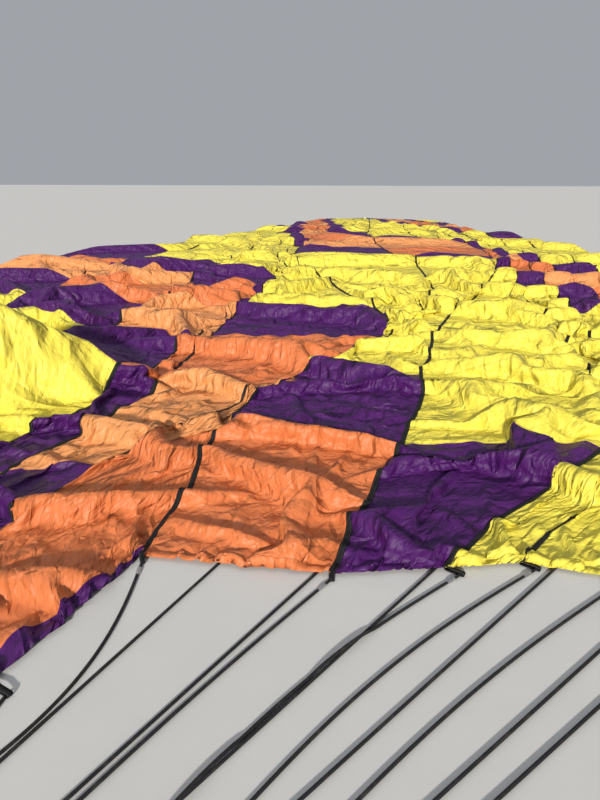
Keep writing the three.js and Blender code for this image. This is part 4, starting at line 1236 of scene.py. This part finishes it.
# hide band round the bottom edge, with stitches and rivets
p = Parts()
bp, gl = resample(rounded(BW + 0.0095, BD + 0.0095, CR + 0.0095, 0.01), 200)
prof = [(-0.0085, 0.001), (0.006, 0.001), (0.0088, 0.006), (0.0090, 0.012), (0.0090, 0.070), (0.0085, 0.076), (0.006, 0.0795), (-0.0085, 0.0795)]
n = len(prof)
V = np.zeros((200, n, 3))
for i in range(200):
    nx, nz = bp[i, 2:] / np.hypot(*bp[i, 2:])
    wv = 0.0004 * math.sin(i * 0.9)
    for j, (a, b) in enumerate(prof):
        V[i, j] = at(BX + bp[i, 0] + nx * (a + (wv if 0 < j < n - 1 else 0)), FY + b, BZ + bp[i, 1] + nz * (a + (wv if 0 < j < n - 1 else 0)))
F = []
for i in range(200):
    for j in range(n):
        F.append((i * n + j, i * n + (j + 1) % n, ((i + 1) % 200) * n + (j + 1) % n, ((i + 1) % 200) * n + j))
p.add(V.reshape(-1, 3), F)
for i in range(0, 200, 1):
    nx, nz = bp[i, 2:] / np.hypot(*bp[i, 2:]); t = np.array([-nz, 0, nx])
    c = at(BX + bp[i, 0] + nx * 0.0094, FY + 0.0665, BZ + bp[i, 1] + nz * 0.0094)
    p.tube([c - t * 0.006, c + np.array([nx, 0, nz]) * 0.0006, c + t * 0.006], 0.0010, 5, mat=1)
for i in range(5, 200, 10):
    nx, nz = bp[i, 2:] / np.hypot(*bp[i, 2:])
    c = at(BX + bp[i, 0] + nx * 0.0088, FY + 0.028, BZ + bp[i, 1] + nz * 0.0088)
    p.lathe([(0.0001, 0.0028), (0.003, 0.0024), (0.0055, 0.0010), (0.0062, 0.0)], c, (nx, 0, nz), 14, mat=2)
o = p.build("base_band", [HIDE, BLACK_HIDE, BRASS], angle=50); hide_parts("basket_base_band")

# runners under the floor
for name, dx in (("left", -0.4), ("middle", 0), ("right", 0.4)):
    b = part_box("basket_skid_" + name)
    c = (np.array(b[0]) + np.array(b[1])) / 2; sz = np.array(b[1]) - np.array(b[0])
    p = Parts().box(tuple(c), tuple(sz), 0.006, 0)
    for q in (-0.36, -0.12, 0.12, 0.36):
        p.lathe([(0.0001, 0.001), (0.006, 0.0008), (0.009, 0.0004), (0.010, -0.001)], (c[0], b[0][1] - 0.0004, c[2] + q), (0, -1, 0), 16, mat=1)
    o = p.build("runner_" + name, [ASH, STEEL], angle=40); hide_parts("basket_skid_" + name)

# ================================================================ fuel cylinders
JACKET = cloth_mat("jacket_blue_black", (0.022, 0.026, 0.045), (0.012, 0.014, 0.026), 0.6, 0.5)


def jacket():
    m = Mat("cylinder_jacket"); p = m.obj(); x, y, z = m.sep(p)[:3]
    w = m.noise(p, 9, 4, 0.6).outputs[0]; f = m.noise(p, 400, 2, 0.5).outputs[0]
    c = m.mix(w, (0.014, 0.018, 0.040), (0.030, 0.036, 0.070)); c = m.mix(m.math('MULTIPLY', f, 0.4), c, (0.06, 0.065, 0.09))
    m.color(c); m.put(Roughness=0.78, Specular_IOR_Level=0.25); m.normal(m.bump(f, 0.0008, 0.6, m.bump(w, 0.01, 0.5)))
    return m.m


JK = jacket()
for name, sx, sz in (('lower_left', -1, -1), ('lower_right', 1, -1), ('upper_left', -1, 1), ('upper_right', 1, 1)):
    c = at(BX + sx * 0.418, FY + 0.031, BZ + sz * 0.340)
    p = Parts()
    # foot ring, shell and shoulders
    p.lathe([(0.1, 0.012), (0.104, 0.002), (0.112, 0.0), (0.116, 0.004), (0.117, 0.030), (0.110, 0.040), (0.128, 0.052), (0.134, 0.066), (0.134, 0.62),
             (0.131, 0.645), (0.122, 0.672), (0.104, 0.695), (0.080, 0.709), (0.055, 0.714), (0.036, 0.716), (0.034, 0.722), (0.0005, 0.722)], c, (0, 1, 0), 56, mat=0)
    p.lathe([(0.0005, 0.040), (0.100, 0.040), (0.104, 0.020), (0.100, 0.012)], c, (0, 1, 0), 40, mat=0)
    # padded jacket, quilted lengthwise
    prof = []
    for i in range(33):
        h = 0.075 + 0.535 * i / 32
        prof.append((0.1362 + 0.0016 * abs(math.sin(PI * i / 5.33)) ** 0.6, h))
    prof = [(0.1335, 0.070)] + prof + [(0.1335, 0.615)]
    p.lathe(prof, c, (0, 1, 0), 60, mat=1, closed=True)
    # collar with hand holes: a rolled ring on four posts
    aa = 2 * PI * np.arange(36) / 36
    p.tube([c + np.array([0.092 * math.cos(q), 0.762, 0.092 * math.sin(q)]) for q in aa], 0.006, 10, closed=True)
    for q in (0.4, 1.6, 2.9, 4.1, 5.3):
        p.box(tuple(c + np.array([0.092 * math.cos(q), 0.732, 0.092 * math.sin(q)])), (0.004, 0.062, 0.034), 0.001, 0, Matrix.Rotation(-q, 3, 'Y'))
    # valve: brass body, hand wheel, outlet, gauge
    p.lathe([(0.0005, 0.715), (0.017, 0.715), (0.017, 0.735), (0.012, 0.739), (0.012, 0.748), (0.0005, 0.748)], c, (0, 1, 0), 24, mat=2)
    p.rod(c + [0, 0.728, 0], c + [0.052 * -sx, 0.728, 0], 0.009, 18, mat=2)
    p.lathe([(0.0005, 0), (0.013, 0), (0.0135, 0.004), (0.0135, 0.016), (0.010, 0.018), (0.0005, 0.018)], c + np.array([-0.050 * sx, 0.728, 0]), (-sx, 0, 0), 22, mat=3)
    p.tube([c + np.array([0.024 * math.cos(q), 0.757, 0.024 * math.sin(q)]) for q in aa[::2]], 0.0042, 8, closed=True, mat=4)
    for q in range(4):
        a_ = PI / 2 * q + 0.3
        p.rod(c + [0, 0.756, 0], c + [0.023 * math.cos(a_), 0.757, 0.023 * math.sin(a_)], 0.0025, 8, mat=4)
    gz = c + np.array([0.0, 0.716, 0.055 * sz])
    p.lathe([(0.0005, 0.0), (0.022, 0.0), (0.024, 0.003), (0.024, 0.012), (0.022, 0.015), (0.020, 0.0152), (0.0195, 0.0128), (0.0005, 0.0128)], gz, (0, 1, 0), 28, mat=5)
    p.box(tuple(gz + np.array([0.004, 0.0136, 0.004])), (0.017, 0.0008, 0.0016), 0, 4, Matrix.Rotation(0.8, 3, 'Y'))
    o = p.build("fuel_cylinder_dressed_" + name, [STEEL, JK, BRASS, BLACK_FINISH_AND_HOLE_SHADE, RED, WHITE], angle=35)
    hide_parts("fuel_cylinder_" + name)
    # two straps with buckles
    q = Parts()
    for h in (0.20, 0.47):
        R = 0.1392
        ringp = [c + np.array([R * math.cos(a), h, R * math.sin(a)]) for a in 2 * PI * np.arange(48) / 48]
        V, F = [], []
        for i, a in enumerate(2 * PI * np.arange(48) / 48):
            for (dr, dh) in ((-0.001, -0.019), (0.0012, -0.018), (0.0012, 0.018), (-0.001, 0.019)):
                V.append(c + np.array([(R + dr) * math.cos(a), h + dh, (R + dr) * math.sin(a)]))
        for i in range(48):
            for j in range(4):
                F.append((i * 4 + (j + 1) % 4, ((i + 1) % 48) * 4 + (j + 1) % 4, ((i + 1) % 48) * 4 + j, i * 4 + j))
        UVs = [[(0.016, i * 0.018), (0.016, (i + 1) * 0.018), (-0.016, (i + 1) * 0.018), (-0.016, i * 0.018)] for i in range(48) for j in range(4)]
        q.add(V, F, UVs, 0)
        bx = c + np.array([-sx * R * 0.75, h, -sz * R * 0.66])
        q.box(tuple(bx), (0.012, 0.046, 0.034), 0.003, 1, Matrix.Rotation(math.atan2(-sx * 0.75, -sz * 0.66), 3, 'Y'))
    q.build("cylinder_straps_" + name, [BLACK_HIDE, STEEL], angle=35)
print("cylinders %.1f s" % (time.time() - T0))

# ================================================================ uprights in padded sleeves
for name, sx, sz in (('upper_right', 1, 1), ('upper_left', -1, 1), ('lower_left', -1, -1), ('lower_right', 1, -1)):
    a = at(BX + sx * (FRAME_HALF + 0.0148), FRAME_Y - 0.0715, BZ + sz * (FRAME_HALF + 0.0063))
    b = at(BX + sx * (BW - 0.014), RY + 0.003, BZ + sz * (BD - 0.040))
    n = 60; t = np.linspace(0, 1, n)
    P = a + (b - a) * t[:, None]
    wob = 0.0016
    P = P + np.stack([wob * np.sin(t * 21 + sx), 0 * t, wob * np.sin(t * 17 + sz * 2)], -1) * np.sin(PI * t)[:, None]
    r = 0.0215 + 0.0012 * np.sin(t * 95) * np.sin(PI * t) + 0.001 * np.sin(t * 37 + sx)
    r[0] = r[-1] = 0.0165; r[1] = r[-2] = 0.0205
    p = Parts().tube(P, r, 18)
    T, Nn, B = frames_along(P)
    # closing flap with stitches along one side
    side = Nn * 0.8 + B * 0.6; side /= np.linalg.norm(side, axis=1, keepdims=True)
    p.tube(P[2:-2] + side[2:-2] * 0.0222, 0.0028, 6, mat=0)
    for i in range(3, n - 3, 1):
        c = P[i] + side[i] * 0.0245
        p.tube([c - T[i] * 0.0035, c + side[i] * 0.0006, c + T[i] * 0.0035], 0.0007, 4, mat=1)
    for i in (5, n // 2, n - 7):             # webbing bands
        ringq = [P[i] + 0.0240 * (math.cos(q) * Nn[i] + math.sin(q) * B[i]) for q in 2 * PI * np.arange(24) / 24]
        ringw = [P[i] + T[i] * 0.006 + 0.0240 * (math.cos(q) * Nn[i] + math.sin(q) * B[i]) for q in 2 * PI * np.arange(24) / 24]
        p.tube(ringq, 0.0022, 6, closed=False, mat=0); p.tube(ringw, 0.0022, 6, closed=False, mat=0)
    o = p.build("upright_sleeve_" + name, [BLACK_HIDE, HIDE]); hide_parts("upright_" + name)

# ================================================================ burner
CAN_X, CAN_Y0 = 0.112, 0.034
for name, s in (('left', -1), ('right', 1)):
    c = at(BX + s * CAN_X, FRAME_Y + CAN_Y0, BZ)
    r, t, L = 0.098, 0.004, 0.27
    p = Parts()
    prof = [(0.012, 0.0), (r * 0.70, 0.0), (r * 0.745, 0.006), (r * 0.985, 0.056), (r, 0.064), (r, 0.110), (r + 0.0015, 0.113), (r, 0.116), (r, L - 0.022),
            (r + 0.0012, L - 0.019), (r, L - 0.016), (r, L - 0.006), (r + 0.0008, L - 0.002), (r - 0.001, L), (r - 0.0035, L - 0.002), (r - t, L - 0.006), (r - t, 0.066),
            (r * 0.985 - t, 0.058), (r * 0.745 - t, 0.008), (r * 0.70 - t, 0.004), (0.012, 0.004)]
    p.lathe(prof, c, (0, 1, 0), 72, mat=0, closed=True)
    # air holes: raised discs with rolled edges, their black faces painted shade standing in for the dark hollow of each
    # hole
    for ringn, (h, nh) in enumerate(((0.082, 18), (0.098, 18))):
        for i in range(nh):
            a_ = 2 * PI * (i + 0.5 * ringn) / nh
            n_ = np.array([math.cos(a_), 0, math.sin(a_)])
            p.lathe([(0.0001, 0.0007), (0.0045, 0.0007), (0.0052, 0.0014), (0.0060, 0.0010), (0.0062, -0.0004)], c + n_ * r + np.array([0, h, 0]), tuple(n_), 12, mat=1)
    # rivets at the lap seam
    for h in np.linspace(0.125, L - 0.03, 7):
        a_ = 1.1; n_ = np.array([math.cos(a_), 0, math.sin(a_)])
        p.lathe([(0.0001, 0.0016), (0.0026, 0.0012), (0.0034, 0.0)], c + n_ * r + np.array([0, h, 0]), tuple(n_), 10, mat=0)
    o = p.build("burner_can_formed_" + name, [HEAT, BLACK_FINISH_AND_HOLE_SHADE], body="burner", angle=32)
    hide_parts("burner_can_" + name)
    # vaporising coil, with its clamps
    q = np.linspace(0, 1, 150); a_ = 2 * PI * 2.5 * q
    P = np.stack([c[0] + 0.080 * np.cos(a_), c[1] + 0.075 + 0.165 * q, c[2] + 0.080 * np.sin(a_)], -1)
    p = Parts().tube(P, 0.0068, 12)
    for aq in (0.6, 2.7, 4.8):
        n_ = np.array([math.cos(aq), 0, math.sin(aq)])
        p.box(tuple(c + n_ * 0.0885 + np.array([0, 0.156, 0])), (0.0022, 0.175, 0.012), 0.0006, 0, Matrix.Rotation(-aq, 3, 'Y'))
    o = p.build("burner_coil_bent_" + name, [HEAT], body="burner", angle=40)
    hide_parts("burner_coil_" + name)
    # jet ring and pilot inside the can
    p = Parts()
    aa = 2 * PI * np.arange(40) / 40
    p.tube([c + np.array([0.042 * math.cos(z), 0.030, 0.042 * math.sin(z)]) for z in aa], 0.0055, 10, closed=True)
    for z in range(20):
        a2 = 2 * PI * z / 20
        b_ = c + np.array([0.042 * math.cos(a2), 0.034, 0.042 * math.sin(a2)])
        p.rod(b_, b_ + [0, 0.007, 0], 0.0022, 8)
    for z in (0, PI):
        p.rod(c + [0, 0.012, 0], c + [0.042 * math.cos(z), 0.030, 0.042 * math.sin(z)], 0.0045, 10)
    p.rod(c + [0, 0.004, 0], c + [0, 0.060, 0], 0.0085, 16)
    p.lathe([(0.0005, 0), (0.012, 0), (0.013, 0.006), (0.010, 0.013), (0.0095, 0.011), (0.0005, 0.009)], c + np.array([0, 0.058, 0]), (0, 1, 0), 24)
    p.build("jet_ring_" + name, [BRASS], body="burner", angle=40)

# fittings on the burner block: gauges, grips, caps and bolts
p = Parts()
for s in (-1, 1):
    c = at(BX + s * CAN_X, FRAME_Y - 0.19, BZ + 0.014)
    g = at(BX + s * (CAN_X - 0.030), FRAME_Y - 0.19, BZ + 0.014)
    p.rod(g + [-0.052, 0, 0], g + [0.052, 0, 0], 0.0135, 20, mat=0)                     # blast valve grip
    for q in np.linspace(-0.044, 0.044, 9):
        p.tube([g + np.array([q, 0.0138 * math.cos(z), 0.0138 * math.sin(z)]) for z in 2 * PI * np.arange(18) / 18], 0.0012, 5, closed=True, mat=0)
    d = at(BX + s * CAN_X, FRAME_Y - 0.060, BZ - 0.044)                                    # pressure gauge
    p.rod(d + [0, 0, 0.006], d + [0, 0, -0.014], 0.006, 14, mat=1)
    gc = d + np.array([0, 0, -0.016])
    p.lathe([(0.0005, 0.0), (0.026, 0.0), (0.028, -0.003), (0.028, -0.016), (0.026, -0.019), (0.0235, -0.019), (0.023, -0.016), (0.0005, -0.016)], gc, (0, 0, 1), 32, mat=2)
    p.lathe([(0.0005, -0.0168), (0.0228, -0.0168), (0.0228, -0.0160)], gc, (0, 0, 1), 32, mat=3)
    p.box(tuple(gc + np.array([0.004, 0.005, -0.0176])), (0.0016, 0.018, 0.0008), 0, 4, Matrix.Rotation(0.7, 3, 'Z'))
    for q in range(8):                                                                    # bolts round the valve body
        a_ = 2 * PI * q / 8
        b_ = at(BX + s * CAN_X + 0.034 * math.cos(a_), FRAME_Y - 0.1108, BZ + 0.034 * math.sin(a_))
        p.lathe([(0.0005, 0.0032), (0.0038, 0.0030), (0.0044, 0.0022), (0.0044, 0.0)], b_, (0, -1, 0), 6, mat=2)
    k_ = at(BX + s * (CAN_X + 0.010), FRAME_Y - 0.085, BZ + 0.044)                         # pilot valve knob
    p.rod(k_, k_ + [0, 0, 0.012], 0.006, 12, mat=1)
    p.lathe([(0.0005, 0.010), (0.014, 0.010), (0.0155, 0.013), (0.0155, 0.022), (0.013, 0.025), (0.0005, 0.025)], k_, (0, 0, 1), 12, mat=5)
p.build("burner_fittings", [RED, BRASS, STEEL, WHITE, BLACK_FINISH_AND_HOLE_SHADE, BLUE], body="burner", angle=38)

# ================================================================ load frame, gimbal ring, burner block
LUG_Y = FRAME_Y + 0.062
E3 = np.eye(3)


def pierced(p, centre, axis, lo, hi, thick, hole, mat=0, n=48, soft=0.0022):
    """a plate with a round hole: axis through the hole, lo and hi are its limits from the hole's centre in the two other axes"""
    a1, a2 = [q for q in range(3) if q != axis]
    c = np.array(centre, float)

    def rim(inset):
        out = []
        for t in 2 * PI * np.arange(n) / n:
            cs, sn = math.cos(t), math.sin(t)
            l1 = (hi[0] if cs > 0 else -lo[0]) - inset; l2 = (hi[1] if sn > 0 else -lo[1]) - inset
            k = (abs(cs) / l1) ** 7 + (abs(sn) / l2) ** 7
            r = k ** (-1 / 7)
            out.append(E3[a1] * r * cs + E3[a2] * r * sn)
        return np.array(out)

    def circ(r):
        t = 2 * PI * np.arange(n) / n
        return np.outer(np.cos(t), E3[a1]) * r + np.outer(np.sin(t), E3[a2]) * r
    h = thick / 2; ax = E3[axis]
    rings = [circ(hole) - ax * (h - soft * 0.5), circ(hole + soft * 0.5) - ax * h, rim(soft) - ax * h, rim(0) - ax * (h - soft),
             rim(0) + ax * (h - soft), rim(soft) + ax * h, circ(hole + soft * 0.5) + ax * h, circ(hole) + ax * (h - soft * 0.5)]
    V = (np.array(rings) + c).reshape(-1, 3)
    F = grid_faces(8, n, wrap=True)
    k = np.arange(n)
    F = np.concatenate([F, np.stack([7 * n + k, 7 * n + (k + 1) % n, (k + 1) % n, k], -1)])
    F = F[:, ::-1] if axis == 1 else F
    UV = [[(V[v][a1] - c[a1], V[v][a2] - c[a2]) for v in f] for f in F]
    p.add(V, F, UV, mat)
    return p


p = Parts()
H0 = FRAME_HALF
for s in (-1, 1):
    p.box(tuple(at(BX, FRAME_Y, BZ + s * H0)), (2 * H0 - 0.050, 0.032, 0.032), 0.006)
    p.box(tuple(at(BX + s * H0, FRAME_Y, BZ)), (0.032, 0.032, 2 * H0 - 0.050), 0.006)


def bead(p, c, n_axis, half, r=0.0028):
    """a weld bead round a square tube"""
    a1, a2 = [q for q in range(3) if q != n_axis]
    pts = []
    for i in range(40):
        t = 2 * PI * i / 40
        k = (abs(math.cos(t)) ** 6 + abs(math.sin(t)) ** 6) ** (-1 / 6)
        pts.append(np.array(c) + E3[a1] * half * k * math.cos(t) + E3[a2] * half * k * math.sin(t) + E3[n_axis] * 0.0008 * (i % 2))
    p.tube(pts, r, 6, closed=True)


for fan, sx, sz in (('upper_right', 1, 1), ('upper_left', -1, 1), ('lower_left', -1, -1), ('lower_right', 1, -1)):
    c = at(BX + sx * H0, FRAME_Y, BZ + sz * H0)
    p.box(tuple(c), (0.056, 0.056, 0.056), 0.007)
    bead(p, c - np.array([sx * 0.029, 0, 0]), 0, 0.0165); bead(p, c - np.array([0, 0, sz * 0.029]), 2, 0.0165)
    pierced(p, at(BX + sx * H0, LUG_Y, BZ + sz * H0), 0, (-0.042, -0.022), (0.018, 0.022), 0.012, 0.0120)
    e = c + np.array([sx * 0.014, -0.070, sz * 0.006])
    d = (e - c) / np.linalg.norm(e - c)
    p.rod(c + d * 0.020, e, 0.0218, 28)
    for q in (0.0335, 0.0665):
        u_ = np.cross(d, [0, 0, 1.0]); u_ /= np.linalg.norm(u_); w_ = np.cross(d, u_)
        p.tube([c + d * q + 0.0218 * (math.cos(z) * u_ + math.sin(z) * w_) for z in 2 * PI * np.arange(28) / 28], 0.0022, 6, closed=True)
    b = c + d * 0.050
    p.lathe([(0.0005, 0.007), (0.0065, 0.0065), (0.0075, 0.005), (0.0075, 0.0)], b + np.array([sx * 0.0205, 0, 0]), (sx, 0, 0), 6)
for s in (-1, 1):
    a0, a1_ = at(BX + s * (H0 - 0.008), FRAME_Y, BZ), at(BX + s * (0.32 - 0.016), FRAME_Y, BZ)
    p.rod(a0, a1_, 0.0079, 28)
    p.rod(a0, at(BX + s * 0.354, FRAME_Y, BZ), 0.0138, 28)
    bead(p, at(BX + s * (H0 - 0.0175), FRAME_Y, BZ), 0, 0.0138, 0.0024)
    for q in (0.357, 0.376):
        p.tube([at(BX + s * q, FRAME_Y + 0.0140 * math.cos(z), BZ + 0.0140 * math.sin(z)) for z in 2 * PI * np.arange(28) / 28], 0.0014, 6, closed=True)
o = p.build("load_frame_welded", [STEEL], angle=38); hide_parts("load_frame")

p = Parts()
R0, h0, b0 = 0.32, 0.014, 0.0035
sec = [(R0 + h0, -h0 + b0), (R0 + h0, h0 - b0), (R0 + h0 - b0 * 0.3, h0 - b0 * 0.3), (R0 + h0 - b0, h0), (R0 - h0 + b0, h0), (R0 - h0 + b0 * 0.3, h0 - b0 * 0.3),
       (R0 - h0, h0 - b0), (R0 - h0, -h0 + b0), (R0 - h0 + b0 * 0.3, -h0 + b0 * 0.3), (R0 - h0 + b0, -h0), (R0 + h0 - b0, -h0), (R0 + h0 - b0 * 0.3, -h0 + b0 * 0.3)]
# four arcs between the bosses, so that the bores stay open
for q in range(4):
    t = np.linspace(q * PI / 2 + 0.057, (q + 1) * PI / 2 - 0.057, 27)
    V = np.array([[at(BX + r * math.cos(a), FRAME_Y + y, BZ + r * math.sin(a)) for (r, y) in sec] for a in t])
    F = grid_faces(len(t), len(sec), wrap=True)
    m_ = len(sec); capA = tuple(reversed(range(m_))); capB = tuple(range((len(t) - 1) * m_, len(t) * m_))
    UV = [[(sec[v % m_][1], t[v // m_] * R0) for v in f] for f in F]
    p.add(V.reshape(-1, 3), [tuple(f) for f in F] + [capA, capB], UV)
for s in (-1, 1):
    pierced(p, at(BX + s * R0, FRAME_Y, BZ), 0, (-0.022, -0.022), (0.022, 0.022), 0.040, 0.0087)
    pierced(p, at(BX, FRAME_Y, BZ + s * R0), 2, (-0.022, -0.022), (0.022, 0.022), 0.040, 0.0087)
    for c_, ax in ((at(BX + s * R0, FRAME_Y + 0.0215, BZ), 1), (at(BX, FRAME_Y + 0.0215, BZ + s * R0), 1)):
        p.lathe([(0.0005, 0.0052), (0.0035, 0.0052), (0.0040, 0.0046), (0.0040, 0.0)], c_, (0, 1, 0), 6)
o = p.build("gimbal_ring_machined", [STEEL], body="gimbal", angle=35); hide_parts("gimbal_ring")

p = Parts()
p.box(tuple(at(BX, FRAME_Y, BZ)), (0.036, 0.030, 0.584), 0.004)
p.box(tuple(at(BX, FRAME_Y - 0.010, BZ)), (0.300, 0.040, 0.060), 0.008)
p.rod(at(BX, FRAME_Y, BZ - 0.336), at(BX, FRAME_Y, BZ + 0.336), 0.0079, 28, mat=1)
for s in (-1, 1):
    c = at(BX + s * CAN_X, FRAME_Y, BZ)
    p.lathe([(0.0005, -0.110), (0.031, -0.110), (0.0355, -0.1065), (0.036, -0.097), (0.0415, -0.0945), (0.0420, -0.092), (0.0420, -0.062), (0.0405, -0.059),
             (0.0385, -0.057), (0.0385, -0.034), (0.0405, -0.031), (0.0420, -0.029), (0.0420, 0.026), (0.040, 0.030), (0.036, 0.0325), (0.0005, 0.0325)], c, (0, 1, 0), 44)
    p.box(tuple(c + [0, -0.150, 0.014]), (0.013, 0.090, 0.019), 0.004, 1)
    p.box(tuple(c + [-0.030 * s, -0.190, 0.014]), (0.108, 0.013, 0.019), 0.004, 1)
    p.rod(c + [0, -0.116, 0.014], c + [0, -0.104, 0.014], 0.014, 20, mat=1)
    for q in (-0.020, 0.020):
        p.lathe([(0.0005, 0.0045), (0.0055, 0.0042), (0.0062, 0.003), (0.0062, 0.0)], c + np.array([q * s + s * 0.016 - s * 0.016, 0.0095, 0.0225]), (0, 1, 0), 6, mat=1)
    p.rod(c + [s * 0.036, -0.078, 0], c + [s * 0.058, -0.078, 0], 0.0125, 6, mat=2)            # fuel inlet with a cap
    p.rod(c + [s * 0.058, -0.078, 0], c + [s * 0.072, -0.078, 0], 0.0095, 20, mat=2)
for s in (-1, 1):
    for q in (-0.13, 0.13):
        p.lathe([(0.0005, 0.0045), (0.0055, 0.0042), (0.0062, 0.003), (0.0062, 0.0)], at(BX + q, FRAME_Y - 0.010, BZ + s * 0.0298), (0, 0, s), 6, mat=1)
    p.tube([at(BX + 0.0095 * math.cos(z), FRAME_Y + 0.0095 * math.sin(z), BZ + s * 0.2945) for z in 2 * PI * np.arange(24) / 24], 0.0020, 6, closed=True, mat=1)
o = p.build("burner_block_fitted", [DARK, STEEL, BRASS], body="burner", angle=38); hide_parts("burner_block")

for fan, sx, sz in (('upper_right', 1, 1), ('upper_left', -1, 1), ('lower_left', -1, -1), ('lower_right', 1, -1)):
    c = at(BX + sx * H0, KARA_Y, BZ + sz * H0)
    tt = 2 * PI * np.arange(56) / 56
    r = 0.0050 + 0.0006 * (np.abs(np.sin(tt)) > 0.93)
    p = Parts().tube(np.stack([c[0] + 0.029 * np.cos(tt), c[1] + 0.057 * np.sin(tt), c[2] + 0 * tt], -1), r, 12, closed=True)
    for y_ in (-0.026, 0.024):
        p.rod(c + np.array([-0.0262 - 0.006, y_, 0]), c + np.array([-0.0262 + 0.004, y_, 0]), 0.0042, 12)
    o = p.build("karabiner_forged_" + fan, [STEEL], angle=40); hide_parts("karabiner_" + fan)

p = Parts()
sec = []
for a in 2 * PI * np.arange(16) / 16:
    k = (abs(math.cos(a)) ** 4 + abs(math.sin(a)) ** 4) ** (-0.25)
    sec.append((0.130 + 0.0118 * k * math.cos(a), 0.0100 + 0.0098 * k * math.sin(a)))
p.lathe([*sec], (rc[0], rc[1], 0.0), (0, 0, 1), 84, closed=True)
o = p.build("crown_ring_turned", [ALU], angle=40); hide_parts("crown_ring")

# ================================================================ finishes of the nodes that stay
KEEP = {"basket_floor": PLY}
for nme, mt in KEEP.items():
    ob = bpy.data.objects.get(nme) or next((x for x in bpy.data.objects if x.name.split(".")[0] == nme), None)
    if ob is None:
        print("no object for", nme); continue
    if not ob.material_slots:
        print("no slots on", nme)
    for sl_ in ob.material_slots:
        sl_.material = mt
print("hardware %.1f s" % (time.time() - T0))
# ================================================================ floor and light
fl = mesh_obj("floor", [(-90, -90, -0.0012), (90, -90, -0.0012), (90, 90, -0.0012), (-90, 90, -0.0012)], [(0, 1, 2, 3)], body=None)
fm = Mat("floor"); fn = fm.noise(fm.obj(), 3.0, 6, 0.6).outputs[0]
fm.color(fm.mix(fn, (0.60, 0.59, 0.57), (0.66, 0.65, 0.63))); fm.put(Roughness=0.9); fm.normal(fm.bump(fn, 0.002, 0.2))
fl.data.materials.append(fm.m)


def sun(name, energy, angle, az, el, color=(1, 1, 1)):
    """az: direction that the light comes from, in degrees counter-clockwise from +Y; el: height"""
    d = bpy.data.lights.new(name, 'SUN'); d.energy, d.angle, d.color = energy, math.radians(angle), color
    o = link(bpy.data.objects.new(name, d))
    a, e = math.radians(az), math.radians(el)
    src = Vector((-math.sin(a) * math.cos(e), math.cos(a) * math.cos(e), math.sin(e)))
    o.rotation_euler = src.to_track_quat('Z', 'Y').to_euler()
    return o


sun("key", 4.3, 3, 180 + 9.46 - 8, 20, (1.0, 0.96, 0.89))
sun("fill", 0.3, 60, 60, 50, (0.90, 0.95, 1.0))
world = bpy.data.worlds.new("studio"); bpy.context.scene.world = world; world.use_nodes = True
world.node_tree.nodes["Background"].inputs[0].default_value = (0.86, 0.90, 0.97, 1)
world.node_tree.nodes["Background"].inputs[1].default_value = 0.41
bpy.context.scene.view_settings.view_transform = "Standard"

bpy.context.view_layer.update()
print("scene %.1f s" % (time.time() - T0))
